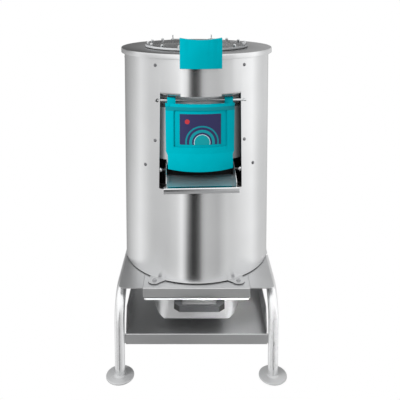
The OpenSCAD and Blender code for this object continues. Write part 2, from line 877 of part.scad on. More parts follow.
// Curved hand plate with a rolled upper edge, a finger dip and turned-in sides
module lid_grip() {
  top = grip_z0 + grip_h;
  outer = grip_in + grip_t;
  scoop_r = (pow(grip_w/2, 2) + pow(grip_scoop, 2))/(2*grip_scoop);
  color(teal)
    on_drum()
      difference() {
        intersection() {
          rotate([0, 0, -108])
            rotate_extrude(angle = 36)
              polygon([[grip_in - 4, grip_z0], [outer - 0.8, grip_z0], [outer, grip_z0 + 0.8],
                       [outer, top - 5], [outer - 1.2, top - 1.8], [outer - 4, top],
                       [grip_in - 8, top], [grip_in - 8, top - 3], [grip_in - 4, top - 3.5]]);
          translate([-grip_w/2, -outer - 5, grip_z0 - 5]) cube([grip_w, 60, grip_h + 10]);
        }
        // hollow behind the plate, open to the rear and below
        intersection() {
          translate([0, 0, grip_z0 - 5]) cylinder(r = grip_in, h = grip_h + 1);
          union() {
            for (x = [-grip_w/2 + 2.4, -15, 17])
              translate([x, -outer, grip_z0 - 6])
                cube([x == -15 ? 30 : grip_w/2 - 19.4, 60, grip_h + 2]);
            translate([-strap_half - 0.5, -outer, lid_z + lid_t - 0.5])
              cube([2*strap_half + 1, 60, strap_rise + 1]);
          }
        }
        translate([0, 0, top - grip_scoop + scoop_r])
          rotate([90, 0, 0]) cylinder(r = scoop_r, h = 300, $fn = 180);
      }
}

// Strap from the lid over the rim, turned up behind the grip
module grip_bracket() {
  z0 = lid_z + lid_t;
  strap_t = 2.5;
  color(satin)
    on_drum()
      difference() {
        union() {
          intersection() {
            translate([-strap_half, -grip_in - 2, z0]) cube([2*strap_half, 115, strap_t]);
            cylinder(r = grip_in, h = 1000);
          }
          intersection() {
            arc_wall(grip_in - strap_t, grip_in, z0, z0 + strap_rise, 10);
            translate([-strap_half, -grip_in - 2, z0]) cube([2*strap_half, 60, strap_rise]);
          }
        }
        for (x = [-18, 18]) translate([x, -116, z0 - 1]) cylinder(r = 2.6, h = 5, $fn = fine);
      }
}

module at_lid_hinges() {
  for (x = [-lid_hinge_x, lid_hinge_x]) translate([x, 0, 0]) children();
}

// Leaves of the lid's two hinges, each clamped by a thin tall stud and cranked down to its knuckle
module lid_hinge_leaf() {
  z0 = lid_z + lid_t;
  z1 = z0 + lid_leaf_t;
  half = 7;
  color(satin)
    on_drum()
      difference() {
        union() {
          at_lid_hinges() {
            translate([-13, 112, z0]) cube([26, 26, lid_leaf_t]);
            extrude_x(-half, half)
              polygon([[137, z0], [137, z1], [140, z1], [lid_pin_y + 0.8, lid_pin_z + 2.8],
                       [lid_pin_y, lid_pin_z], [lid_pin_y - 2.6, lid_pin_z - 1], [140, z0]]);
            translate([0, lid_pin_y, lid_pin_z]) rod_x(lid_knuckle_r, -half, half);
          }
          for (p = lid_studs)
            translate([p[0], p[1], 0]) {
              translate([0, 0, z1 - 0.2]) cylinder(r = 2*lid_stud_r, h = 2.7, $fn = 6);
              translate([0, 0, lid_z + 1.2]) cylinder(r = lid_stud_r, h = 18, $fn = fine);
            }
        }
        translate([0, lid_pin_y, lid_pin_z]) rod_x(lid_pin_r + run, -80, 80);
      }
}

// Fixed halves of the hinges on the rim: a foot plate with two screws and two knuckles each
module lid_hinge_bracket() {
  foot_h = 1.5;
  inner = 7.4;
  outer = 13;
  color(satin)
    on_drum()
      difference() {
        at_lid_hinges() {
          translate([-outer, lid_pin_y + 4, drum_top]) cube([2*outer, 15, foot_h]);
          for (x = [[-outer, -inner], [inner, outer]]) {
            translate([0, lid_pin_y, lid_pin_z]) rod_x(lid_knuckle_r, x[0], x[1]);
            extrude_x(x[0], x[1])
              polygon([[lid_pin_y, lid_pin_z - 2.6], [lid_pin_y + 2, drum_top], [lid_pin_y + 5, drum_top],
                       [lid_pin_y + 5, drum_top + foot_h], [lid_pin_y + 2.3, lid_pin_z + 1.9],
                       [lid_pin_y, lid_pin_z]]);
          }
          for (x = [-7, 7])
            translate([x, lid_pin_y + 13, drum_top + foot_h]) cylinder(r1 = 3, r2 = 2.2, h = 1.4, $fn = fine);
        }
        translate([0, lid_pin_y, lid_pin_z]) rod_x(lid_pin_r, -80, 80);
      }
}

module lid_hinge_pin() {
  color(zinc)
    on_drum()
      at_lid_hinges()
        translate([0, lid_pin_y, lid_pin_z]) {
          rod_x(lid_pin_r, -13.2, 13.2);
          rod_x(2.6, -14.4, -13.2);
          rod_x(2.6, 13.2, 14.4);
        }
}

// ---------------------------------------------------------------- drive

module bearing_housing() {
  top = chamber_z - floor_t;
  color(iron)
    on_drum()
      rotate_extrude()
        polygon([[20, bearing_low + bearing_w], [bearing_r, bearing_low + bearing_w],
                 [bearing_r, bearing_low], [housing_r, bearing_low], [housing_r, top - 26],
                 [housing_r + 6, top - 12], [58, top - 8], [58, top], [bearing_r, top],
                 [bearing_r, bearing_high], [20, bearing_high]]);
}

// Two deep-groove bearings with sunk shields
module shaft_bearings() {
  color(polished)
    on_drum()
      for (z = [bearing_low, bearing_high])
        translate([0, 0, z])
          rotate_extrude()
            polygon([[shaft_r + run, 0], [16.5, 0], [16.5, 1], [22, 1], [22, 0], [bearing_r, 0],
                     [bearing_r, bearing_w], [22, bearing_w], [22, bearing_w - 1],
                     [16.5, bearing_w - 1], [16.5, bearing_w], [shaft_r + run, bearing_w]]);
}

module shaft_seal() {
  color(rubber)
    on_drum()
      translate([0, 0, bearing_high + bearing_w + 1])
        rotate_extrude()
          polygon([[shaft_r + run, 2], [15, 0], [bearing_r, 0], [bearing_r, 8], [17, 8],
                   [17, 4], [shaft_r + run, 5]]);
}

module motor() {
  fins = 9;
  pitch = 8;
  color("#5b6b73")
    on_drum()
      translate([0, belt_centres, 0])
        difference() {
          rotate_extrude()
            polygon(concat(
              [[0, motor_z0], [motor_r, motor_z0], [motor_r, motor_z0 + 10]],
              [for (k = [0 : fins - 1], p = [[-5, 0], [-5, 4], [0, 4], [0, pitch]])
                 [motor_r + p[0], motor_z0 + 10 + k*pitch + p[1]]],
              [[motor_r, motor_z1 - 6], [motor_r - 6, motor_z1], [0, motor_z1]]));
          translate([0, 0, motor_z0 - 1]) cylinder(r = 9.5 + run, h = 9, $fn = 48);
        }
}

// Plate that hangs the motor from the chamber floor on four legs
module motor_plate() {
  plate_t = 5;
  legs = [[-52, 70], [52, 70], [-52, 172], [52, 172]];
  color(iron)
    on_drum()
      difference() {
        union() {
          translate([-60, 62, motor_z0 - plate_t]) cube([120, 122, plate_t]);
          for (p = legs)
            translate([p[0], p[1], motor_z0])
              cylinder(r = 5, h = chamber_z - floor_t - motor_z0, $fn = fine);
        }
        translate([0, belt_centres, motor_z0 - plate_t - 1]) cylinder(r = 12, h = plate_t + 2, $fn = 48);
      }
}

// Grooved pulley, centred on z = 0
module pulley(r_out, bore, hub_r, web_r) {
  half = 12;
  floor_r = r_out - groove_depth;
  rotate_extrude()
    polygon([[bore, -half - 4], [hub_r, -half - 4], [hub_r, -4], [web_r, -4], [web_r, -half],
             [r_out, -half], [r_out, -6.8], [floor_r, -4.6], [floor_r, 4.6], [r_out, 6.8],
             [r_out, half], [web_r, half], [web_r, 4], [hub_r, 4], [hub_r, half + 4],
             [bore, half + 4]]);
}

module large_pulley() {
  color(iron)
    on_drum()
      translate([0, 0, drive_z])
        difference() {
          pulley(pulley_r, shaft_r, 24, pulley_r - 16);
          for (k = [0 : 4])
            rotate([0, 0, 72*k]) translate([46, 0, -6]) cylinder(r = 13, h = 12, $fn = 48);
        }
}

module motor_pulley() {
  color(iron)
    on_drum()
      translate([0, belt_centres, drive_z])
        difference() {
          translate([0, 0, -12]) cylinder(r = motor_pulley_r, h = 24);
          translate([0, 0, -13]) cylinder(r = 9.5, h = 26, $fn = 48);
          rotate_extrude()
            polygon([[motor_pulley_r - groove_depth, -4.6], [motor_pulley_r + 1, -7],
                     [motor_pulley_r + 1, 7], [motor_pulley_r - groove_depth, 4.6]]);
        }
}

module belt_loop(inset) {
  hull() {
    circle(r = pulley_r - 1 - inset, $fn = 72);
    translate([0, belt_centres]) circle(r = motor_pulley_r - 1 - inset, $fn = 36);
  }
}

module drive_belt() {
  color(rubber)
    on_drum()
      translate([0, 0, drive_z - belt_w/2])
        linear_extrude(belt_w)
          difference() {
            belt_loop(0);
            belt_loop(belt_depth);
          }
}

// Shaft with a collar under the lower bearing and a threaded nose through the disc
module drive_shaft() {
  color(polished)
    on_drum()
      union() {
        translate([0, 0, drive_z - 20]) cylinder(r = shaft_r, h = disc_z - drive_z + 20, $fn = 64);
        translate([0, 0, bearing_low - 4]) cylinder(r = 16, h = 3.5, $fn = 64);
        translate([0, 0, disc_z]) cylinder(r = 8, h = disc_t + 6, $fn = 48);
      }
}

module motor_shaft() {
  color(polished)
    on_drum()
      translate([0, belt_centres, drive_z - 16]) cylinder(r = 9.5, h = motor_z0 - drive_z + 23, $fn = 48);
}

module disc_hub() {
  color(iron)
    on_drum()
      translate([0, 0, hub_z])
        difference() {
          cylinder(r = 30, h = disc_z - hub_z);
          translate([0, 0, -1]) cylinder(r = shaft_r, h = 20, $fn = 64);
        }
}

// Abrasive disc with three rounded wave lobes on top and two sweeping ribs below
module abrasive_disc() {
  lobe_r = 44;
  lobe_h = 15;
  color(stone)
    on_drum()
      difference() {
        union() {
          translate([0, 0, disc_z])
            rotate_extrude($fn = 128)
              polygon([[0, 0], [disc_r - 2, 0], [disc_r, 2], [disc_r, disc_t - 2],
                       [disc_r - 2, disc_t], [0, disc_t]]);
          intersection() {
            translate([0, 0, disc_z + disc_t - 1]) tube(disc_r - 8, 26, lobe_h + 2);
            for (k = [0 : 2])
              rotate([0, 0, 60 + 120*k])
                translate([0, 0, disc_z + disc_t + lobe_h - lobe_r])
                  rotate([90, 0, 0]) cylinder(r = lobe_r, h = disc_r);
          }
          for (k = [0, 1])
            rotate([0, 0, 90 + 180*k])
              translate([32, -3, disc_z - 10]) cube([disc_r - 50, 6, 10.5]);
        }
        translate([0, 0, disc_z - 1]) cylinder(r = 8, h = 40, $fn = 48);
      }
}

module disc_cap_nut() {
  z0 = disc_z + disc_t;
  color(zinc)
    on_drum()
      difference() {
        union() {
          translate([0, 0, z0]) cylinder(r = 19, h = 4);
          intersection() {
            translate([0, 0, z0 - 2]) sphere(r = 20);
            translate([-25, -25, z0 + 3]) cube([50, 50, 30]);
          }
        }
        translate([0, 0, z0 - 1]) cylinder(r = 8, h = 7, $fn = 48);
      }
}

// ---------------------------------------------------------------- filter pan

// Section of the bowl: a box of half width w and height h, with its lower corners rounded by r
module bowl_section(w, h, r) {
  translate([r - w, 0]) square([2*(w - r), h]);
  translate([-w, r]) square([2*w, h - r]);
  for (s = [-1, 1]) translate([s*(w - r), r]) circle(r = r);
}

// Pressed bowl of the pan: wide curves along its sides, tight ones at the front and rear
module pan_bowl(inset, top) {
  side_r = 48;
  end_r = 12;
  corner = 46;
  half_w = pan_w/2 - pan_side - inset;
  half_d = pan_d/2 - pan_flange - inset;
  h = top - pan_bottom - inset;
  intersection() {
    translate([0, 0, pan_bottom + inset])
      extrude_y(-half_d - 1, half_d + 1) bowl_section(half_w, h, side_r - inset);
    translate([0, 0, pan_bottom + inset])
      extrude_x(-half_w - 1, half_w + 1) bowl_section(half_d, h, end_r - inset);
    translate([0, 0, pan_bottom - 1])
      linear_extrude(pan_h + 3) rounded_rect(2*half_w + 0.6, 2*half_d + 0.6, corner - inset);
  }
}

// Pan with a flat rim turned down at its edge and a drain spigot at the rear
module filter_pan() {
  wall = 1;
  rim_corner = 5;
  spigot_r = 16;
  rear = pan_d/2 - pan_flange;
  color(polished)
    translate([0, pan_y, 0])
      difference() {
        union() {
          pan_bowl(0, pan_top - 0.5);
          difference() {
            translate([0, 0, pan_top - pan_rim_t]) linear_extrude(pan_rim_t) rounded_rect(pan_w, pan_d, rim_corner);
            translate([0, 0, pan_top - pan_rim_t - 1])
              linear_extrude(pan_rim_t - 0.2) rounded_rect(pan_w - 3, pan_d - 3, rim_corner - 1.5);
          }
          translate([0, rear - 6, spigot_z])
            rotate([-90, 0, 0]) {
              cylinder(r = spigot_r + 3.5, h = 8, $fn = 48);
              cylinder(r = spigot_r, h = 34, $fn = 48);
            }
        }
        pan_bowl(wall, pan_top + 1);
        translate([0, rear - 30, spigot_z])
          rotate([-90, 0, 0]) cylinder(r = spigot_r - 1.5, h = 60, $fn = 48);
      }
}

// Basket that keeps the peel back: a band round a perforated plate, which stands in the pan on four legs
module strainer_basket() {
  w = 196;
  d = 256;
  wall = 1;
  corner = 30;
  z0 = pan_bottom + 20;
  z1 = pan_top - 6;
  pitch = 17;
  color(steel)
    translate([0, pan_y, 0]) {
      translate([0, 0, z0])
        linear_extrude(z1 - z0)
          difference() {
            rounded_rect(w, d, corner);
            rounded_rect(w - 2*wall, d - 2*wall, corner - wall);
          }
      translate([0, 0, z0])
        linear_extrude(wall)
          difference() {
            rounded_rect(w - 2*wall - 2*run, d - 2*wall - 2*run, corner - wall - run);
            for (i = [-5 : 5], j = [-7 : 7])
              if (abs(i) < 5 || abs(j) < 7)
                translate([i*pitch, j*pitch]) circle(r = 4.5, $fn = 16);
          }
      for (sx = [-1, 1], sy = [-1, 1])
        translate([sx*52, sy*85, pan_bottom + wall]) cylinder(r = 3, h = z0 - pan_bottom - wall, $fn = fine);
    }
}

// Plan of the handle, drawn with the pan's front wall at y = 0 and the bar at -y
module handle_plan(reach, bar, leg) {
  half = handle_w/2;
  chamfer = 14;
  inner = half - leg;
  polygon([[-half, 0], [-half, chamfer - reach], [chamfer - half, -reach],
           [half - chamfer, -reach], [half, chamfer - reach], [half, 0], [inner, 0],
           [inner, bar + 3 - reach], [inner - 3, bar - reach], [3 - inner, bar - reach],
           [-inner, bar + 3 - reach], [-inner, 0]]);
}

module pan_handle() {
  z0 = pan_top - 24.5;
  h = 15.5;
  reach = 30.2;
  soft = 0.6;                         // set-back of the upper and lower edges
  color(dark_plastic)
    translate([handle_shift, pan_flange - pan_front, z0])
      union() {
        translate([0, 0, 1]) linear_extrude(h - 2) handle_plan(reach, 9.5, 20);
        linear_extrude(h) handle_plan(reach - soft, 9.5 - 2*soft, 20 - soft);
      }
}

// Screws of the handle, with their heads inside the pan
module handle_screws() {
  color(zinc)
    for (s = [-1, 1])
      translate([handle_shift + s*(handle_w/2 - 10), pan_flange + 1 - pan_front, pan_top - 17])
        rotate([-90, 0, 0]) cylinder(r1 = 4.5, r2 = 3.5, h = 2.5, $fn = fine);
}

// ---------------------------------------------------------------- controls

module control_box() {
  wall = 2;
  color(steel)
    on_drum()
      difference() {
        translate([0, cover_y, box_z + box_h/2])
          rotate([90, 0, 0]) linear_extrude(60) rounded_rect(box_w, box_h, 8);
        translate([0, cover_y + 1, box_z + box_h/2])
          rotate([90, 0, 0]) linear_extrude(70) rounded_rect(box_w - 2*wall, box_h - 2*wall, 6);
        translate([0, 0, box_z - 10]) cylinder(r = drum_r, h = box_h + 20);
        translate([-box_w/2 - 2, gland_y, gland_z]) rotate([0, 90, 0]) cylinder(r = 8.2, h = 8, $fn = 48);
      }
}

module control_cover() {
  color(satin)
    on_drum()
      difference() {
        union() {
          translate([0, cover_y + 2, box_z + box_h/2])
            rotate([90, 0, 0]) linear_extrude(2) rounded_rect(box_w, box_h, 8);
          for (x = [-button_x, button_x])
            translate([x, cover_y + 2, button_z]) rotate([-90, 0, 0]) cylinder(r = 15, h = 3, $fn = 48);
          translate([0, cover_y + 2, knob_z]) rotate([-90, 0, 0]) cylinder(r = 26, h = 0.8, $fn = 64);
        }
        for (x = [-button_x, button_x])
          translate([x, cover_y - 1, button_z])
            rotate([-90, 0, 0]) cylinder(r = button_r + gap, h = 8, $fn = 48);
        translate([0, cover_y - 1, knob_z]) rotate([-90, 0, 0]) cylinder(r = 4 + run, h = 8, $fn = fine);
      }
}

// Push button with the flange that stops it behind the cover
module button(x) {
  on_drum()
    translate([x, 0, button_z])
      union() {
        translate([0, cover_y - 8, 0]) rotate([-90, 0, 0]) cylinder(r = 6, h = 8, $fn = fine);
        translate([0, cover_y - 2.5, 0]) rotate([-90, 0, 0]) cylinder(r = button_r + 2.5, h = 2.2, $fn = 48);
        translate([0, cover_y - 2, 0])
          rotate([-90, 0, 0])
            rotate_extrude($fn = 48)
              polygon([[0, 0], [button_r, 0], [button_r, 10], [button_r - 1.5, 11.5], [0, 11.5]]);
      }
}

module start_button() { color("#2f9a4c") button(button_x); }
module stop_button() { color("#c2302c") button(-button_x); }

// Ribbed knob of the clockwork timer
module timer_knob() {
  color(dark_plastic)
    on_drum()
      translate([0, cover_y + 3.1, knob_z])
        rotate([-90, 0, 0])
          union() {
            difference() {
              rotate_extrude($fn = 72)
                polygon([[0, 0], [19.5, 0], [19.5, 2], [17.5, 3], [16.5, 7.5], [15, 9], [0, 9]]);
              for (k = [1 : 11])
                rotate([0, 0, 30*k + 90]) translate([18.7, 0, 2]) cylinder(r = 2.6, h = 9, $fn = 24);
            }
            translate([-1.2, -15, 8]) cube([2.4, 15, 1.6]);
            translate([0, 0, -14]) cylinder(r = 4, h = 15, $fn = fine);
          }
}

// Cable gland in the control box's left side: flange, thread, lock nut and domed cap, with its bore
module cable_gland() {
  thread_r = 8;
  nut_r = 11;
  bore_r = 4.5;
  color(dark_plastic)
    on_drum()
      translate([-box_w/2, gland_y, gland_z])
        rotate([0, 90, 0])
          difference() {
            union() {
              translate([0, 0, -5]) cylinder(r = nut_r, h = 5, $fn = 6);
              translate([0, 0, 2]) cylinder(r = nut_r, h = 4, $fn = 6);
              translate([0, 0, -6]) cylinder(r = thread_r, h = 14, $fn = 48);
              translate([0, 0, -16])
                rotate_extrude($fn = 48)
                  polygon([[0, 0], [7, 0], [9.3, 3], [10, 6], [10, 10.5], [0, 10.5]]);
            }
            translate([0, 0, -17]) cylinder(r = bore_r, h = 26, $fn = 48);
          }
}

// ---------------------------------------------------------------- assembly

side_frame_left();
side_frame_right();
foot_front_left();
foot_front_right();
foot_rear_left();
foot_rear_right();
stand_top_plate();
lower_shelf();
pan_carrier();
pan_rail_left();
pan_rail_right();
base_bolts();
base_ring();
outer_shell();
top_rim();
abrasive_liner();
chamber_floor();
door_frame();
discharge_chute();
chute_bolts();
shell_screws();
door_hinge_rod();
rod_clip();
hinge_spacers();
lid_hinge_bracket();
lid_hinge_pin();
bearing_housing();
shaft_bearings();
shaft_seal();
motor();
motor_plate();
drive_belt();
drain_pipe();
water_inlet();
control_box();
control_cover();
cable_gland();
door_panel();
door_label();
door_gasket();
lid_disc();
lid_gasket();
lid_nuts();
lid_grip();
grip_bracket();
lid_hinge_leaf();
abrasive_disc();
disc_hub();
disc_cap_nut();
drive_shaft();
large_pulley();
motor_shaft();
motor_pulley();
filter_pan();
strainer_basket();
pan_handle();
handle_screws();
start_button();
stop_button();
timer_knob();
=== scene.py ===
"""Looks of the drum peeler: polished drum, moulded door and grip, clear lid, tubular stand and pan."""
import json
import math

import bmesh
import bpy
from bmesh.types import BMEdge, BMVert
from mathutils import Matrix, Vector


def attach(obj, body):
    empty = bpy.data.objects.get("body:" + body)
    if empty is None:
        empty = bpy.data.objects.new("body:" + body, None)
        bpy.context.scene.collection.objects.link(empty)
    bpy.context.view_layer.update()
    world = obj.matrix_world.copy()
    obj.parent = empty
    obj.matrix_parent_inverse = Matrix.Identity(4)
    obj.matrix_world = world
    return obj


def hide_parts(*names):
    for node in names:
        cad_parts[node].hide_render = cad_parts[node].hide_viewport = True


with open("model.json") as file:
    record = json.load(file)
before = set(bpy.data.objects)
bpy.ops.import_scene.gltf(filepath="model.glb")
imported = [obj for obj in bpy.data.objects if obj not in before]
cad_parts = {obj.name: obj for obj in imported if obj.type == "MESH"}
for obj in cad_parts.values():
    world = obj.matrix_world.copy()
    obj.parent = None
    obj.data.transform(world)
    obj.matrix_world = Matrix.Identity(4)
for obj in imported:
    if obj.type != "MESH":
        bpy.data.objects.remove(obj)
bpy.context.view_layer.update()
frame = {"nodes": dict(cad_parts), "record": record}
nodes = frame["nodes"]

MM = 0.001
TURN = math.radians(3)          # the drum's turn on its base ring
BODY_OF = {n: b for b, ns in frame["record"]["behaviour"]["bodies"].items() for n in ns}
SLOT_OF = {s["node"]: s["material_slot"] for s in frame["record"]["subparts"]}


# ------------------------------------------------------------------ shader nodes

class Shading:
    """A tree of shader nodes, and short ways to add to it."""

    def __init__(self, tree):
        self.tree = tree

    def feed(self, node, inputs):
        """Sets a node's inputs: another node's output is linked, and anything else is a value."""
        for socket, value in inputs.items():
            if isinstance(value, bpy.types.NodeSocket):
                self.tree.links.new(value, node.inputs[socket])
            else:
                node.inputs[socket].default_value = value

    def add(self, kind, inputs=None, **settings):
        node = self.tree.nodes.new("ShaderNode" + kind)
        for setting, value in settings.items():
            setattr(node, setting, value)
        self.feed(node, inputs or {})
        return node

    def maths(self, operation, *values):
        return self.add("Math", dict(enumerate(values)), operation=operation).outputs[0]

    def axes(self, vector):
        return self.add("SeparateXYZ", {0: vector}).outputs

    def spread(self, value, start, end, low=0.0, high=1.0, ease="SMOOTHSTEP"):
        """Goes from low to high while a value goes from start to end."""
        limits = {"From Min": start, "From Max": end, "To Min": low, "To Max": high}
        return self.add("MapRange", {"Value": value, **limits}, interpolation_type=ease).outputs["Result"]

    def mixed(self, share, first, second):
        """Blends two colours. Several sockets of the mix node share a name, so these go by number."""
        return self.add("Mix", {0: share, 6: first, 7: second}, data_type="RGBA").outputs[2]


def bare_tree(owner):
    """The emptied node tree of a world or a material."""
    owner.use_nodes = True
    owner.node_tree.nodes.clear()
    return Shading(owner.node_tree)


# ------------------------------------------------------------------ finishes

# Cells of noise in a millimetre along X, Y and Z. Lines run where the cells are long
HOOPS = (0.02, 0.02, 1.4)
LEVEL = (0.3, 0.3, 1.3)
ALONG_X = (0.03, 1.3, 1.3)
ALONG_Y = (0.9, 0.05, 0.9)
UPRIGHT = (0.9, 0.9, 0.05)
COARSE = (0.4, 0.4, 0.4)
EVEN = (0.7, 0.7, 0.7)
PORES = (1.6, 1.6, 1.6)
CLOUDS = (0.02, 0.02, 0.02)
ROLLED_CLOUDS = (0.006, 0.006, 0.009)
PLAIN_MM = (1, 1, 1)                 # for what is laid out in millimetres
NOISE_LOW, NOISE_HIGH = 0.3, 0.7     # most of a noise lies between these values

finishes = {}


class Finish(Shading):
    """A material on a Principled shader, kept in finishes under its name."""

    def __init__(self, name, color, metallic=0.0, roughness=0.5, **sockets):
        material = bpy.data.materials.new(name)
        material.use_nodes = True
        super().__init__(material.node_tree)
        self.shader = self.tree.nodes["Principled BSDF"]
        self.place = self.add("TexCoord").outputs["Object"]
        self.shade({"Base Color": (*color, 1.0), "Metallic": metallic, "Roughness": roughness})
        self.shade({socket.replace("_", " "): value for socket, value in sockets.items()})
        finishes[name] = material

    def shade(self, inputs):
        self.feed(self.shader, inputs)

    def stretched(self, scale, turn=0.0):
        """Object coordinates in millimetres times scale, turned about Z."""
        change = {"Scale": [s / MM for s in scale], "Rotation": (0, 0, turn)}
        return self.add("Mapping", {"Vector": self.place, **change}).outputs["Vector"]

    def noise(self, cells, detail=3.0, roughness=0.5):
        """Noise with so many cells in a millimetre along X, Y and Z."""
        shape = {"Scale": 1.0, "Detail": detail, "Roughness": roughness}
        return self.add("TexNoise", {"Vector": self.stretched(cells), **shape}).outputs["Fac"]

    def span(self, noise, low, high):
        return self.spread(noise, NOISE_LOW, NOISE_HIGH, low, high, ease="LINEAR")

    def tint(self, noise, low, high):
        self.shade({"Base Color": self.mixed(self.span(noise, 0.0, 1.0), (*low, 1.0), (*high, 1.0))})

    def rough(self, noise, low, high):
        self.shade({"Roughness": self.span(noise, low, high)})

    def bump(self, height, distance, strength):
        """Relief of so many millimetres."""
        node = self.add("Bump", {"Height": height, "Distance": distance * MM, "Strength": strength})
        self.shade({"Normal": node.outputs["Normal"]})


def rolled_steel(name, dark, light, roughness, grain, depth, blur=0.0, metallic=1.0):
    """Stainless sheet: fine lines along the grain and broad clouds from rolling."""
    steel = Finish(name, light, metallic=metallic, roughness=roughness[0])
    lines = steel.noise(grain, detail=4.0, roughness=0.6)
    steel.tint(steel.noise(ROLLED_CLOUDS, detail=2.0), dark, light)
    steel.rough(lines, *roughness)
    steel.bump(lines, depth, 0.5)
    if blur:
        round_z = steel.add("Tangent", direction_type="RADIAL", axis="Z").outputs["Tangent"]
        steel.shade({"Anisotropic": blur, "Anisotropic Rotation": 0.25, "Tangent": round_z})


def moulded(name, dark, light, roughness, depth, **sockets):
    """Moulded plastic or rubber: slight tone clouds and a fine surface grain."""
    plastic = Finish(name, light, roughness=roughness[0], **sockets)
    clouds = plastic.noise(CLOUDS, detail=2.0)
    plastic.tint(clouds, dark, light)
    plastic.rough(clouds, *roughness)
    plastic.bump(plastic.noise(PORES, detail=2.0), depth, 0.4)


# Each has a dark and a light tone, a lowest and a highest roughness, and the depth of its relief
rolled_steel("drum_steel", (0.71, 0.715, 0.72), (0.75, 0.755, 0.76), (0.18, 0.22), HOOPS, 0.004, blur=1.0)
rolled_steel("steel_sheet", (0.62, 0.625, 0.63), (0.70, 0.705, 0.71), (0.38, 0.48), ALONG_X, 0.008)
rolled_steel("polished_steel", (0.74, 0.75, 0.76), (0.82, 0.83, 0.84), (0.10, 0.16), UPRIGHT, 0.003)
rolled_steel("tube_steel", (0.78, 0.785, 0.79), (0.84, 0.845, 0.85), (0.26, 0.32), UPRIGHT, 0.003,
             metallic=0.9)
rolled_steel("drawn_steel", (0.60, 0.61, 0.62), (0.68, 0.69, 0.70), (0.32, 0.40), ALONG_Y, 0.005,
             metallic=0.93)
rolled_steel("pan_steel", (0.78, 0.785, 0.79), (0.86, 0.865, 0.87), (0.30, 0.36), ALONG_Y, 0.005,
             metallic=0.8)
# painted reflection: a darker copy of the steel for the rim's deck, standing in for the darker surroundings
# it mirrors
rolled_steel("deck_painted_dark", (0.36, 0.365, 0.37), (0.42, 0.425, 0.43), (0.28, 0.34), ALONG_X, 0.005)
rolled_steel("foot_steel", (0.46, 0.465, 0.47), (0.54, 0.545, 0.55), (0.42, 0.5), COARSE, 0.01,
             metallic=0.4)
rolled_steel("shadow_steel", (0.07, 0.07, 0.075), (0.11, 0.11, 0.115), (0.35, 0.45), LEVEL, 0.006)
# painted reflection: a near-white, hardly metallic steel for the liner's back seen over the door
rolled_steel("liner_painted_light", (0.90, 0.905, 0.91), (0.95, 0.955, 0.96), (0.3, 0.4), LEVEL, 0.006,
             metallic=0.05)
# painted shade: duller, half-diffuse copies of the sheet for the strips beside the door, the right-hand one
# darker
rolled_steel("strip_painted_shade", (0.50, 0.505, 0.51), (0.56, 0.565, 0.57), (0.4, 0.5), LEVEL, 0.006,
             metallic=0.5)
rolled_steel("strip_painted_deep_shade", (0.20, 0.20, 0.205), (0.26, 0.26, 0.265), (0.4, 0.5), LEVEL, 0.006, metallic=0.5)
rolled_steel("zinc_hardware", (0.62, 0.63, 0.64), (0.78, 0.79, 0.80), (0.14, 0.26), EVEN, 0.01)
rolled_steel("bolt_zinc", (0.36, 0.36, 0.37), (0.5, 0.5, 0.51), (0.22, 0.32), EVEN, 0.01)
rolled_steel("dark_screw", (0.16, 0.16, 0.17), (0.26, 0.26, 0.27), (0.2, 0.3), EVEN, 0.01)
rolled_steel("machined_iron", (0.20, 0.21, 0.22), (0.28, 0.29, 0.30), (0.35, 0.5), COARSE, 0.03)

moulded("teal_plastic", (0.0, 0.30, 0.36), (0.0, 0.33, 0.40), (0.33, 0.40), 0.004,
        Specular_IOR_Level=0.2, Specular_Tint=(0.0, 0.8, 1.0, 1.0))
# painted shade: a darker copy of the teal for the door's groove and the walls of its recess
moulded("teal_painted_shade", (0.0, 0.19, 0.23), (0.0, 0.21, 0.25), (0.35, 0.42), 0.004, Specular_IOR_Level=0.15)
moulded("grey_plastic", (0.060, 0.062, 0.065), (0.082, 0.084, 0.088), (0.38, 0.48), 0.02)
moulded("handle_grey", (0.055, 0.057, 0.060), (0.075, 0.077, 0.080), (0.45, 0.55), 0.02,
        Specular_IOR_Level=0.3)
moulded("black_rubber", (0.012, 0.012, 0.012), (0.022, 0.022, 0.022), (0.55, 0.7), 0.02)
moulded("soft_silicone", (0.10, 0.10, 0.10), (0.14, 0.14, 0.14), (0.45, 0.55), 0.01)
# painted shade: near black, laid where gaps and hollows lie in shadow
moulded("painted_black_shade", (0.004, 0.004, 0.004), (0.008, 0.008, 0.008), (0.7, 0.8), 0.01,
        Specular_IOR_Level=0.1)
# painted highlight: an opaque grey for the clear lid's rim, standing in for the light line along its edge
moulded("lid_edge_highlight", (0.42, 0.43, 0.44), (0.50, 0.51, 0.52), (0.3, 0.4), 0.01)
# painted highlight: a pale, plain finish standing in for the bright line along the pan's front lip
moulded("painted_highlight", (0.80, 0.82, 0.83), (0.90, 0.92, 0.93), (0.3, 0.4), 0.01)
moulded("green_button", (0.01, 0.26, 0.06), (0.015, 0.30, 0.07), (0.2, 0.27), 0.003)
moulded("red_button", (0.46, 0.012, 0.012), (0.52, 0.018, 0.018), (0.2, 0.27), 0.003)
moulded("motor_paint", (0.09, 0.12, 0.15), (0.12, 0.16, 0.19), (0.35, 0.5), 0.03)


def abrasive_grit():
    """Stone lining: pale and dark grains that stand out from it."""
    grit = Finish("abrasive", (0.2, 0.19, 0.18), roughness=0.85)
    grains = grit.add("TexVoronoi", {"Vector": grit.stretched(PLAIN_MM), "Scale": 0.9})
    grit.tint(grit.noise((0.8, 0.8, 0.8), detail=4.0), (0.10, 0.095, 0.09), (0.26, 0.25, 0.24))
    grit.bump(grains.outputs["Distance"], 0.6, 0.8)


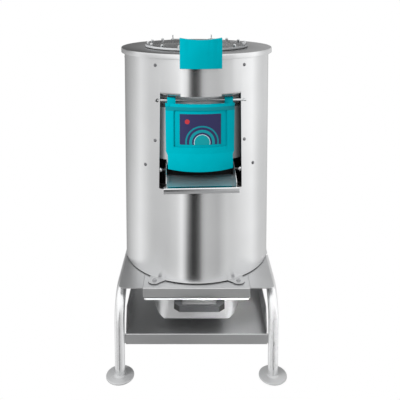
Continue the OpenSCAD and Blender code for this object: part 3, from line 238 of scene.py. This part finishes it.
def satin_shelf():
    """Satin sheet with painted light: less metallic over its right-hand part and most of all towards the
    rear, so that the lamps light it there as a stand-in for a reflection.
    """
    satin = Finish("shelf_floor", (0.62, 0.625, 0.63), metallic=1.0, roughness=0.42)
    x, y, _ = satin.axes(satin.stretched(PLAIN_MM))
    rise = satin.spread(x, 50, 100, 0.0, 0.64)
    fall = satin.spread(x, 150, 174, 1.0, 0.0)
    rearwards = satin.spread(y, -215, -110, 0.62, 1.55)
    painted_light_share = satin.maths("MULTIPLY", satin.maths("MULTIPLY", rise, fall), rearwards)
    satin.shade({"Metallic": satin.maths("SUBTRACT", 1.0, painted_light_share)})
    satin.bump(satin.noise(ALONG_X, detail=4.0, roughness=0.6), 0.006, 0.5)


def smoked_lid():
    """Clear sheet with fine scuffs: half see-through, with a soft shine."""
    lid = Finish("clear_lid", (0.10, 0.105, 0.11), roughness=0.08, Alpha=0.5, IOR=1.4)
    scuffs = lid.noise((0.05, 0.4, 0.4), detail=5.0, roughness=0.7)
    lid.rough(scuffs, 0.06, 0.16)
    lid.bump(scuffs, 0.004, 0.3)


NAVY = (0.026, 0.025, 0.085)
RIPPLES_AT, DOT_AT = (4, 0, 588), (-33, 0, 640)
RIPPLES = [(0, 19, (0.0, 0.27, 0.30)), (19, 20.4, (0.45, 0.62, 0.66)), (25, 32, (0.0, 0.24, 0.28)),
           (38, 42, (0.0, 0.20, 0.25))]     # inner radius, outer radius and ink
DOT = (0, 6, (0.42, 0.03, 0.04))


def printed_label():
    """Navy print with plain rings like ripples on water and one red dot."""
    label = Finish("label_navy", NAVY, roughness=0.38, Specular_IOR_Level=0.2)
    turned_back = label.stretched(PLAIN_MM, -TURN)
    flat = label.add("VectorMath", {0: turned_back, 1: (1, 0, 1)}, operation="MULTIPLY").outputs[0]
    label.rough(label.noise((0.05, 0.05, 0.05)), 0.34, 0.42)
    color = (*NAVY, 1.0)
    for middle, (inner, outer, ink) in [(RIPPLES_AT, ripple) for ripple in RIPPLES] + [(DOT_AT, DOT)]:
        far = label.add("VectorMath", {0: flat, 1: middle}, operation="DISTANCE").outputs["Value"]
        ring = label.maths("COMPARE", far, (inner + outer) / 2, (outer - inner) / 2)
        color = label.mixed(ring, color, (*ink, 1.0))
    label.shade({"Base Color": color})


abrasive_grit()
satin_shelf()
printed_label()
smoked_lid()


# ------------------------------------------------------------------ shaping

EDGE_ANGLE = math.radians(40)   # a sharper edge gets a bevel
SOFT_EDGE = 0.35                # bevel of a copied node
FLAT_ANGLE = math.radians(0.6)  # faces that meet at less are one


def only(kind, geom):
    return [g for g in geom if isinstance(g, kind)]


def corners(faces_or_edges):
    """Their vertices, each once and in the order met, so that every run gives the same mesh."""
    return list(dict.fromkeys(v for g in faces_or_edges for v in g.verts))


def put_together(bm, name, node, bevel=0.0, sharp=32, finish=None, segments=2, close=True, accents=()):
    """Makes the finished piece: it replaces its node, rides on the node's body and gets its finish.

    close merges the points of a new shape and turns its faces outwards. An accent is another
    finish and the test of a face that gets it. The first that fits is used.
    """
    if close:
        bmesh.ops.remove_doubles(bm, verts=bm.verts, dist=1e-6)
        bmesh.ops.recalc_face_normals(bm, faces=bm.faces)
    unturn = Matrix.Rotation(-TURN, 3, "Z")
    for face in bm.faces if accents else ():
        at, normal = unturn @ face.calc_center_median() / MM, unturn @ face.normal
        face.material_index = next((k for k, (_, fits) in enumerate(accents, 1) if fits(at, normal)), 0)
    mesh = bpy.data.meshes.new(name)
    bm.to_mesh(mesh)
    bm.free()
    mesh.polygons.foreach_set("use_smooth", [True] * len(mesh.polygons))
    mesh.set_sharp_from_angle(angle=math.radians(sharp))
    slot = SLOT_OF[node]
    mesh.materials.append(finishes[finish or slot])
    for accent, _ in accents:
        mesh.materials.append(finishes[accent])
    piece = bpy.data.objects.new(name, mesh)
    bpy.context.scene.collection.objects.link(piece)
    if bevel:
        edge = piece.modifiers.new("edge", "BEVEL")
        edge.width = bevel * MM
        edge.segments = segments
        edge.limit_method = "ANGLE"
        edge.angle_limit = EDGE_ANGLE
        edge.harden_normals = True
    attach(piece, BODY_OF[node])
    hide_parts(node)


def turn_about_z(bm, verts, angle):
    bmesh.ops.rotate(bm, cent=(0, 0, 0), matrix=Matrix.Rotation(angle, 3, "Z"), verts=verts)


def on_drum(bm):
    turn_about_z(bm, bm.verts, TURN)
    return bm


def chain(bm, points, closed=True):
    """Joins a few points, in millimetres, into a line for a spin or an extrusion."""
    verts = [bm.verts.new(Vector(p) * MM) for p in points]
    pairs = list(zip(verts, verts[1:])) + ([(verts[-1], verts[0])] if closed else [])
    return verts + [bm.edges.new(pair) for pair in pairs]


def turned(profile, steps, half_az=180.0, closed=True):
    """Turns a profile of (radius, height) about Z, half_az degrees to each side of the front."""
    bm = bmesh.new()
    line = chain(bm, [(0, -r, z) for r, z in profile], closed)
    turn_about_z(bm, only(BMVert, line), math.radians(-half_az))
    bmesh.ops.spin(bm, geom=line, cent=(0, 0, 0), axis=(0, 0, 1), angle=math.radians(2 * half_az),
                   steps=steps, use_merge=half_az >= 180, use_duplicate=False)
    return bm


def cap_ends(bm):
    bmesh.ops.holes_fill(bm, edges=[e for e in bm.edges if e.is_boundary], sides=0)


def finished_copy(node, cut_at=None, bevel=SOFT_EDGE, **looks):
    """The node's own solid as a clean mesh with its finish and edges that catch the light.

    cut_at is a height where its faces are parted for an accent.
    """
    bm = bmesh.new()
    bm.from_mesh(nodes[node].data)
    bmesh.ops.remove_doubles(bm, verts=bm.verts, dist=2e-6)
    bmesh.ops.dissolve_limit(bm, angle_limit=FLAT_ANGLE, verts=bm.verts, edges=bm.edges)
    if cut_at:
        bmesh.ops.bisect_plane(bm, geom=bm.verts[:] + bm.edges[:] + bm.faces[:], dist=1e-7,
                               plane_co=(0, 0, cut_at * MM), plane_no=(0, 0, 1))
    put_together(bm, node + "_finished", node, bevel, close=False, **looks)


# ------------------------------------------------------------------ drum casing

SHELL_R, SHELL_T = 200.0, 1.5
SHELL_Z, DECK_Z = 227.0, 808.0
OPEN_X, OPEN_Z0, OPEN_Z1 = 1.5, 465.0, 703.5        # the opening, and how far it reaches to each side
OPEN_HALF_LOW, OPEN_HALF_HIGH = 105.25, 101.75
NOTCH_IN, NOTCH_Z, TAB_R = 51.0, 713.0, 10.0
AROUND = 256                                        # flats round the shell
TAB_FLATS, TAB_STEPS = 23, 8                        # to each side of the front, and round the bend
SLIVER = 0.5                                        # points closer than this become one


def cut_side(bm, side, lower, upper, clear=False, everywhere=False):
    """Cuts the front of a sheet along a line from one point to another on the opening's left or right.

    A point is the distance from the opening's middle and the height. The faces between the line's
    ends are cut. With everywhere all of them are, and clear also takes away what is outside.
    """
    (half0, z0), (half1, z1) = lower, upper
    middle = (z0 + z1) / 2 * MM

    def crossed(face):
        heights = [v.co.z for v in face.verts]
        return min(heights) < middle < max(heights)

    near = [f for f in bm.faces if f.calc_center_median().y < 0 and (clear or everywhere or crossed(f))]
    geom = near + list(dict.fromkeys(e for f in near for e in f.edges)) + corners(near)
    bmesh.ops.bisect_plane(bm, geom=geom, dist=1e-7, plane_co=Vector((OPEN_X + side * half0, 0, z0)) * MM,
                           plane_no=Vector((side * (z1 - z0), 0, half0 - half1)), clear_outer=clear)


def opening_half(z):
    return OPEN_HALF_LOW + (OPEN_HALF_HIGH - OPEN_HALF_LOW) * (z - OPEN_Z0) / (OPEN_Z1 - OPEN_Z0)


def in_opening(face):
    """Whether a face of the rolled sheet lies in the opening or in one of the notches over it."""
    at = face.calc_center_median() / MM
    across = abs(at.x - OPEN_X)
    if at.y > 0 or at.z > NOTCH_Z or at.z < OPEN_Z0:
        return False
    return across < opening_half(at.z) if at.z < OPEN_Z1 else NOTCH_IN < across < OPEN_HALF_HIGH


def give_way_to_edges(bm):
    """Moves a point of the sheet that is a sliver away from a cut edge onto the edge's own point."""
    edge = [v.co.copy() for v in bm.verts if v.is_boundary]
    for v in bm.verts:
        if not v.is_boundary:
            v.co = next((at for at in edge if (at - v.co).length < SLIVER * MM), v.co)


def bent_tabs():
    """The sheet over the two notches, bent inwards round a quarter circle."""
    bend = [math.radians(-90 * k / TAB_STEPS) for k in range(TAB_STEPS + 1)]
    arc = [(SHELL_R - TAB_R + TAB_R * math.cos(a), NOTCH_Z + TAB_R * math.sin(a)) for a in bend]
    tabs = turned(arc, 2 * TAB_FLATS, TAB_FLATS * 360 / AROUND, closed=False)
    for side in (-1, 1):
        cut_side(tabs, side, (OPEN_HALF_HIGH, OPEN_Z1), (OPEN_HALF_HIGH, NOTCH_Z), clear=True)
        cut_side(tabs, side, (NOTCH_IN, OPEN_Z1), (NOTCH_IN, NOTCH_Z), everywhere=True)
    between = [f for f in tabs.faces if abs(f.calc_center_median().x / MM - OPEN_X) < NOTCH_IN]
    bmesh.ops.delete(tabs, geom=between, context="FACES")
    mesh = bpy.data.meshes.new("bent_tabs")
    tabs.to_mesh(mesh)
    tabs.free()
    return mesh


def drum_shell():
    """Sheet rolled into a drum. The opening's upper edge is notched over the door's ears, with bent tabs."""
    levels = (SHELL_Z, OPEN_Z0, OPEN_Z1, NOTCH_Z, DECK_Z)
    bm = turned([(SHELL_R, z) for z in levels], AROUND, closed=False)
    for side in (-1, 1):
        cut_side(bm, side, (OPEN_HALF_LOW, OPEN_Z0), (OPEN_HALF_HIGH, OPEN_Z1))
        for half in (NOTCH_IN, OPEN_HALF_HIGH):
            cut_side(bm, side, (half, OPEN_Z1), (half, NOTCH_Z))
    bmesh.ops.delete(bm, geom=[f for f in bm.faces if in_opening(f)], context="FACES")
    give_way_to_edges(bm)
    tabs = bent_tabs()
    bm.from_mesh(tabs)
    bpy.data.meshes.remove(tabs)
    bmesh.ops.remove_doubles(bm, verts=bm.verts, dist=SLIVER * MM)
    bmesh.ops.recalc_face_normals(bm, faces=bm.faces)
    if bm.faces[0].normal.dot(bm.faces[0].calc_center_median() * Vector((1, 1, 0))) < 0:
        bmesh.ops.reverse_faces(bm, faces=bm.faces)
    bmesh.ops.solidify(bm, geom=bm.faces[:], thickness=SHELL_T * MM)
    return on_drum(bm)


put_together(drum_shell(), "drum_shell", "outer_shell", bevel=0.3)

RIM_R, RIM_Z, FEED_R, LINER_IN = 209.0, 809.5, 128.0, 161.0
RIM_FLATS = 224


def rim_ring():
    """Deck over the drum's edge, with a lip round the throat, a collar in the liner and a skirt outside."""
    lip = [(FEED_R, RIM_Z - 12), (FEED_R + 1.5, RIM_Z - 12), (FEED_R + 1.5, DECK_Z)]
    collar = [(LINER_IN - 2, DECK_Z), (LINER_IN - 2, DECK_Z - 9),
              (LINER_IN - 0.5, DECK_Z - 9), (LINER_IN - 0.5, DECK_Z)]
    skirt = [(RIM_R - 2.2, DECK_Z), (RIM_R - 1.5, DECK_Z - 0.8), (RIM_R - 1.5, RIM_Z - 13),
             (RIM_R - 0.9, RIM_Z - 13.4), (RIM_R - 0.2, RIM_Z - 13), (RIM_R, RIM_Z - 12.2)]
    upper_side = [(RIM_R, RIM_Z - 1.6), (RIM_R - 0.5, RIM_Z - 0.5), (RIM_R - 1.6, RIM_Z),
                  (FEED_R + 1.6, RIM_Z), (FEED_R + 0.5, RIM_Z - 0.5), (FEED_R, RIM_Z - 1.6)]
    return on_drum(turned(lip + collar + skirt + upper_side, RIM_FLATS))


# the deck's upward faces are painted darker as the reflection they show
def deck(at, normal):
    return normal.z > 0.95


put_together(rim_ring(), "rim_ring", "top_rim", sharp=38, accents=[("deck_painted_dark", deck)])


# ------------------------------------------------------------------ stand

TUBE_R, BEND_R = 12.5, 70.0
FRAME_X, FRAME_Y = 191.5, 225.0
LEG_Z = 139.8                   # where the bends start
LUG, LUG_Y, LUG_Z = (22, 56, 2.9), 180, 221.0
FOOT_R, FOOT_T, FILLET_Z = 35, 5.0, 8.6
TUBE_FLATS, BEND_STEPS, FOOT_FLATS = 40, 16, 64


def bent_tube(side):
    """One length of tube: up the front leg, round both bends and down the rear leg, with two lugs."""
    bm = bmesh.new()
    ring = bmesh.ops.create_circle(bm, cap_ends=False, radius=TUBE_R * MM, segments=TUBE_FLATS)["verts"]
    bmesh.ops.translate(bm, vec=Vector((side * FRAME_X, -FRAME_Y, FOOT_T)) * MM, verts=ring)
    edges = list(dict.fromkeys(e for v in ring for e in v.link_edges))

    def pull(edges, vec):
        made = bmesh.ops.extrude_edge_only(bm, edges=edges)["geom"]
        bmesh.ops.translate(bm, vec=Vector(vec) * MM, verts=only(BMVert, made))
        return only(BMEdge, made)

    def bend(edges, y):
        centre = Vector((side * FRAME_X, y, LEG_Z)) * MM
        made = bmesh.ops.spin(bm, geom=edges + corners(edges), cent=centre, axis=(1, 0, 0),
                              angle=-math.pi / 2, steps=BEND_STEPS, use_duplicate=False)["geom_last"]
        return only(BMEdge, made)

    edges = pull(edges, (0, 0, LEG_Z - FOOT_T))
    edges = bend(edges, BEND_R - FRAME_Y)
    edges = pull(edges, (0, 2 * (FRAME_Y - BEND_R), 0))
    edges = bend(edges, FRAME_Y - BEND_R)
    pull(edges, (0, 0, FOOT_T - LEG_Z))
    cap_ends(bm)
    for end in (-1, 1):
        lug = bmesh.ops.create_cube(bm, size=1.0)["verts"]
        bmesh.ops.scale(bm, vec=Vector(LUG) * MM, verts=lug)
        bmesh.ops.translate(bm, vec=Vector((side * (FRAME_X - TUBE_R), end * LUG_Y, LUG_Z)) * MM, verts=lug)
    return bm


def foot_disc(x, y):
    """Disc with a rounded edge, and a fillet that rises from it to the tube."""
    disc = [(0, 0), (FOOT_R - 1, 0), (FOOT_R, 1), (FOOT_R, 3.2), (FOOT_R - 0.4, 4.0), (FOOT_R - 1.8, FOOT_T)]
    fillet = [(17, FOOT_T), (15.6, 5.6), (14.4, 7.0), (13.2, 8.3), (TUBE_R - 0.2, FILLET_Z), (0, FILLET_Z)]
    bm = turned(disc + fillet, FOOT_FLATS)
    bmesh.ops.translate(bm, vec=Vector((x, y, 0)) * MM, verts=bm.verts)
    return bm


SIDES = ((-1, "left"), (1, "right"))

for side, name in SIDES:
    put_together(bent_tube(side), "bent_tube_" + name, "side_frame_" + name, sharp=40, finish="tube_steel")

for side, name in SIDES:
    for end, row in ((-1, "front"), (1, "rear")):
        put_together(foot_disc(side * FRAME_X, end * FRAME_Y), f"foot_disc_{row}_{name}",
                     f"foot_{row}_{name}", sharp=50, finish="foot_steel")


# ------------------------------------------------------------------ discharge chute

CHUTE_HALF, CHUTE_T = 84.5, 1.5
CHUTE_Y, CHUTE_Z, CHUTE_BACK = 240.0, 489.0, 150.0      # front edge, its height, and the walls' rear ends
CHUTE_RISE = math.tan(math.radians(15))
WALL_Z, STUD_Z, LIP_HALF, LIP_R, SEAT_R = 534.0, 510.0, 91.7, 3.4, 186.75


def bar_along_x(bm, outline, x0, x1):
    """A straight bar along X from its outline in points of (y, z), -Y being the front."""
    line = chain(bm, [(x0, y, z) for y, z in outline])
    ends = only(BMVert, bmesh.ops.extrude_edge_only(bm, edges=only(BMEdge, line))["geom"])
    bmesh.ops.translate(bm, vec=Vector((x1 - x0, 0, 0)) * MM, verts=ends)
    cap_ends(bm)


def on_floor(back, below=0.0):
    """Point of the floor's upper side, so far back from the front edge, or as much below it."""
    return (back - CHUTE_Y, CHUTE_Z + back * CHUTE_RISE - below)


def trough():
    """Sloping floor rolled over at the front into a round lip with an apron, between two walls."""
    bm = bmesh.new()
    front, rear = 2, CHUTE_Y - SEAT_R + 0.3
    bar_along_x(bm, [on_floor(front, CHUTE_T), on_floor(rear, CHUTE_T), on_floor(rear), on_floor(front)],
                -CHUTE_HALF, CHUTE_HALF)
    y, z = LIP_R - 1.6 - CHUTE_Y, CHUTE_Z - LIP_R + 1.0
    bend = [math.radians(70 + 10 * k) for k in range(13)]
    roll = [(y + LIP_R * math.cos(a), z + LIP_R * math.sin(a)) for a in bend]
    apron = [(y - LIP_R + 0.6, CHUTE_Z - 7), (y - LIP_R + 0.6, CHUTE_Z - 13), (y - LIP_R + 1.8, CHUTE_Z - 13),
             (y - LIP_R + 1.8, CHUTE_Z - 5), on_floor(8, CHUTE_T), on_floor(8)]
    bar_along_x(bm, roll + apron, -LIP_HALF, LIP_HALF)
    wall = [(3 - CHUTE_Y, CHUTE_Z), (2 - CHUTE_Y, CHUTE_Z + 12), (4 - CHUTE_Y, CHUTE_Z + 14.5),
            (-173, WALL_Z - 4), (-CHUTE_BACK, WALL_Z), (-CHUTE_BACK, STUD_Z - 12), (-172, STUD_Z - 12)]
    for x in (-CHUTE_HALF - CHUTE_T, CHUTE_HALF):
        bar_along_x(bm, wall, x, x + CHUTE_T)
    return on_drum(bm)


def wall_edge(at, normal):
    return abs(at.x) > CHUTE_HALF - 0.2 and abs(normal.x) < 0.5


def lip_side(at, normal):
    return at.y < 6 - CHUTE_Y and at.z > CHUTE_Z - 7


put_together(trough(), "chute_trough", "discharge_chute", bevel=0.3, sharp=45, finish="drawn_steel",
             accents=[("polished_steel", wall_edge), ("polished_steel", lip_side)])


# ------------------------------------------------------------------ every other node

RING_WALL_R = (196.0, 199.0)            # the base ring's wall under the shell, painted black as the shadow in the gap
CHEEK_X, STRIP_X = 60.0, 76.0           # sides of the door's frame, and the strips in front of them; both are painted with shade
SEAT_FOOT_Z = 524.0                     # below it the door's seat is painted black as the chute's shadow
LINER_GAP_Z = 640.0                     # above it the liner's back is painted pale, a painted reflection of the bright studio
# the door's groove and its recess walls are painted with darker teal as shade
DOOR_STEP_Z = (666.0, 676.5)
RECESS_X, RECESS_R, RECESS_Z = 70.0, 192.0, (570.0, 676.0)
# the pan's front lip is painted pale as a highlight
PAN_LIP_Y, PAN_LIP_Z = -212.0, 192.5
# behind this the carrier's inside, and its underside, are painted black as shade
CARRIER_FRONT_Y = -200.0
STUD_END_X = 96.0                       # between the chute's nuts
NUT_TIP_Z = 825.0
# outside this radius the clear lid's rim is painted grey as its highlight
LID_EDGE_R = 141.0


# Tests of a face, from its middle in millimetres and its normal, both with the drum's turn taken out

def radius(at):
    return math.hypot(at.x, at.y)


def outward(at, normal):
    return at.x * normal.x + at.y * normal.y


def ring_wall(at, normal):
    low, high = RING_WALL_R
    return abs(normal.z) < 0.3 and low < radius(at) < high and at.z < SHELL_Z


def ear_edge(at, normal):
    return abs(normal.z) < 0.5 and at.z < SHELL_Z


def liner_outside(at, normal):
    return outward(at, normal) > 0


def liner_top(at, normal):
    return outward(at, normal) > 0 and at.z > LINER_GAP_Z


def cheek(at, normal):
    return abs(normal.x) > 0.9 and abs(at.x) > CHEEK_X


def seat_foot(at, normal):
    return at.z < SEAT_FOOT_Z and normal.y < -0.5


def strip_left(at, normal):
    return normal.y < -0.5 and at.x < -STRIP_X


def strip_right(at, normal):
    return normal.y < -0.5 and at.x > STRIP_X


def door_step(at, normal):
    low, high = DOOR_STEP_Z
    return low < at.z < high and at.y < -100


def recess_wall(at, normal):
    low, high = RECESS_Z
    across = abs(outward(at, normal)) < 0.5 * radius(at)
    return across and low < at.z < high and abs(at.x) < RECESS_X and radius(at) > RECESS_R


def chute_stud(at, normal):
    return abs(at.x) < STUD_END_X


def nut_tip(at, normal):
    return at.z > NUT_TIP_Z


def lid_rim(at, normal):
    return abs(normal.z) < 0.9 and radius(at) > LID_EDGE_R


def shelf_floor(at, normal):
    return normal.z > 0.9


def carrier_inside(at, normal):
    return normal.y > 0.5 and at.y < CARRIER_FRONT_Y or normal.z < -0.5


def pan_lip(at, normal):
    return normal.y < -0.9 and at.z > PAN_LIP_Z and at.y < PAN_LIP_Y


# painted shade: the chamfered faces at the handle's ends are painted black
def handle_chamfer_shade(at, normal):
    return abs(normal.x) > 0.3 and normal.y < -0.2


LOOKS = {
    # painted shade: the ring's wall under the shell is black and the ears' sides are darkened
    "base_ring": {"accents": [("painted_black_shade", ring_wall), ("shadow_steel", ear_edge)]},
    "base_bolts": {"finish": "bolt_zinc"},
    "shell_screws": {"finish": "dark_screw"},
    # painted light and shade: the liner's back is pale above the door and darkened below
    "abrasive_liner": {"cut_at": LINER_GAP_Z,
                       "accents": [("liner_painted_light", liner_top), ("shadow_steel", liner_outside)]},
    # painted shade: the seat below the chute is black, and the cheeks and the strips beside the door are
    # darkened
    "door_frame": {"cut_at": SEAT_FOOT_Z,
                   "accents": [("painted_black_shade", seat_foot), ("shadow_steel", cheek),
                               ("strip_painted_shade", strip_left), ("strip_painted_deep_shade", strip_right)]},
    # painted shade: darker teal in the door's groove and on its recess walls
    "door_panel": {"bevel": 1.0, "segments": 3,
                   "accents": [("teal_painted_shade", door_step), ("teal_painted_shade", recess_wall)]},
    "chute_bolts": {"accents": [("shadow_steel", chute_stud)]},
    "lid_gasket": {"finish": "soft_silicone"},
    # painted highlight: the lid's rim is grey
    "lid_disc": {"accents": [("lid_edge_highlight", lid_rim)]},
    "lid_nuts": {"accents": [("shadow_steel", nut_tip)]},
    # painted light: the shelf's floor is less metallic on the right so the lamps light it there
    "lower_shelf": {"bevel": 0.0, "accents": [("shelf_floor", shelf_floor)]},
    # painted shade: the carrier's inside and underside are black
    "pan_carrier": {"accents": [("painted_black_shade", carrier_inside)]},
    # painted highlight: the pan's front lip is pale
    "filter_pan": {"finish": "pan_steel", "accents": [("painted_highlight", pan_lip)]},
    # painted shade: the handle's chamfered ends take the black rubber finish as shade
    "pan_handle": {"finish": "handle_grey", "accents": [("black_rubber", handle_chamfer_shade)]},
}

for node in sorted(nodes):
    if not nodes[node].hide_render:
        finished_copy(node, **LOOKS.get(node, {}))


# ------------------------------------------------------------------ studio

# Upright panels round the object as (degrees to the right of the front, level), upper and lower rows
HIGH_PANELS = [(-180, 0.22), (-152, 0.27), (-113, 0.52), (-96, 0.70), (-77, 0.58), (-62, 0.61), (-44, 0.76),
               (-22, 1.0), (-14, 1.0), (-9, 0.22), (-5, 0.0), (1, 0.0), (5, 0.10), (9, 0.38), (17, 0.48),
               (32, 0.47), (54, 0.57), (63, 0.80), (96, 1.0), (112, 0.74), (126, 0.63), (150, 0.58),
               (180, 0.22)]
LOW_PANELS = [(-180, 0.28), (-148, 0.36), (-102, 0.84), (-76, 0.52), (-46, 0.47), (-32, 0.56), (-23, 0.84),
              (-19, 0.50), (-14, 0.02), (-4, 0.0), (1, 0.06), (5, 0.14), (9, 0.40), (15, 0.52), (35, 0.42),
              (49, 0.64), (65, 0.60), (99, 0.80), (120, 0.57), (150, 0.52), (180, 0.28)]
NADIR, CEILING = 0.12, 0.95
BACK_LEFT, BACK_RIGHT = 0.12, 0.50
GLOSS = 1.32                    # strength of what reflections show
SOFT_LIGHT = 0.42               # what lights the object from all round
FLOOR_HALF = 6.0                # metres from the floor's middle to its sides

# Where one part of the studio gives way to the next, by how far a direction points up, right or back
NADIR_TO_PANELS = (-0.9, -0.55)
LOW_TO_HIGH = (-0.42, -0.14)
PANELS_TO_CEILING = (0.05, 0.45)
BACK_ABOVE, BACK_BEHIND, BACK_ACROSS = (-0.02, 0.15), (0.15, 0.7), (-0.25, 0.25)


def grey(level):
    return (level, level, level, 1)


def studio_world():
    """White to the eye; in reflections, upright light and dark panels under a bright ceiling."""
    world = bpy.data.worlds.new("studio")
    bpy.context.scene.world = world
    studio = bare_tree(world)
    east, north, up = studio.axes(studio.add("TexCoord").outputs["Generated"])
    azimuth = studio.maths("ARCTAN2", east, studio.maths("MULTIPLY", north, -1.0))
    turn = studio.maths("ADD", studio.maths("DIVIDE", azimuth, 2 * math.pi), 0.5)

    def row(panels):
        node = studio.add("ValToRGB", {"Fac": turn})
        ramp = node.color_ramp
        while len(ramp.elements) < len(panels):
            ramp.elements.new(0.5)
        for element, (degrees, level) in zip(ramp.elements, panels):
            element.position = (degrees + 180) / 360
            element.color = grey(level)
        return node.outputs["Color"]

    panels = studio.mixed(studio.spread(up, *LOW_TO_HIGH), row(LOW_PANELS), row(HIGH_PANELS))
    round_about = studio.mixed(studio.spread(up, *NADIR_TO_PANELS), grey(NADIR), panels)
    ceiling = studio.mixed(studio.spread(up, *PANELS_TO_CEILING), round_about, grey(CEILING))
    back_wall = studio.mixed(studio.spread(east, *BACK_ACROSS), grey(BACK_LEFT), grey(BACK_RIGHT))
    behind = studio.maths("MULTIPLY", studio.spread(up, *BACK_ABOVE), studio.spread(north, *BACK_BEHIND))
    reflected = studio.mixed(behind, ceiling, back_wall)

    ray = studio.add("LightPath").outputs
    seen = studio.mixed(ray["Is Camera Ray"], grey(SOFT_LIGHT), grey(1.0))
    plain, glossy = (studio.add("Background", {"Color": color, "Strength": strength}).outputs[0]
                     for color, strength in ((seen, 1.0), (reflected, GLOSS)))
    choice = studio.add("MixShader", {0: ray["Is Glossy Ray"], 1: plain, 2: glossy})
    studio.add("OutputWorld", {"Surface": choice.outputs[0]})


def softbox(name, place, aim, size, power, spread=180):
    """A rectangular lamp that the object's surfaces don't mirror, in metres, watts and degrees."""
    lamp = bpy.data.lights.new(name, "AREA")
    lamp.energy = power
    lamp.shape = "RECTANGLE"
    lamp.size, lamp.size_y = size
    lamp.spread = math.radians(spread)
    box = bpy.data.objects.new(name, lamp)
    box.location = place
    box.rotation_euler = (Vector(aim) - Vector(place)).to_track_quat("-Z", "Y").to_euler()
    box.visible_glossy = False
    bpy.context.scene.collection.objects.link(box)


def pale_floor():
    """Plain white floor, which lights the object from below as the studio round it does."""
    bm = bmesh.new()
    bmesh.ops.create_grid(bm, x_segments=1, y_segments=1, size=FLOOR_HALF)
    mesh = bpy.data.meshes.new("floor")
    bm.to_mesh(mesh)
    bm.free()
    white = bpy.data.materials.new("floor_white")
    shading = bare_tree(white)
    glow = shading.add("Emission", {"Strength": 1.0})
    shading.add("OutputMaterial", {"Surface": glow.outputs[0]})
    mesh.materials.append(white)
    floor = bpy.data.objects.new("floor", mesh)
    floor.visible_glossy = False
    bpy.context.scene.collection.objects.link(floor)


studio_world()
pale_floor()
softbox("softbox_left", (-1.6, -1.3, 2.2), (0, 0, 0.5), (0.9, 1.0), 72)
softbox("softbox_right", (1.7, -1.5, 1.5), (0, 0, 0.45), (1.2, 1.6), 8)
softbox("softbox_low", (0.35, -1.6, 0.5), (0.115, 0.14, 0.11), (0.3, 0.3), 0.34, spread=8)


# ------------------------------------------------------------------ camera

SENSOR = 36.0
WIDTH, FOCAL = 400, 540.13      # of the picture, in pixels
CAMERA_AT = (0, -1.507, 0.9626)
LOOKS_DOWN = 0.08147            # radians below level
SHIFT_X, SHIFT_Y = 0.0088, -0.412

lens = bpy.data.cameras.new("camera")
lens.sensor_width = SENSOR
lens.lens = FOCAL / WIDTH * SENSOR
lens.shift_x = SHIFT_X
lens.shift_y = SHIFT_Y
camera = bpy.data.objects.new("camera", lens)
camera.location = CAMERA_AT
camera.rotation_euler = (math.pi / 2 - LOOKS_DOWN, 0, 0)
bpy.context.scene.collection.objects.link(camera)
bpy.context.scene.camera = camera
bpy.context.scene.view_settings.view_transform = "Standard"
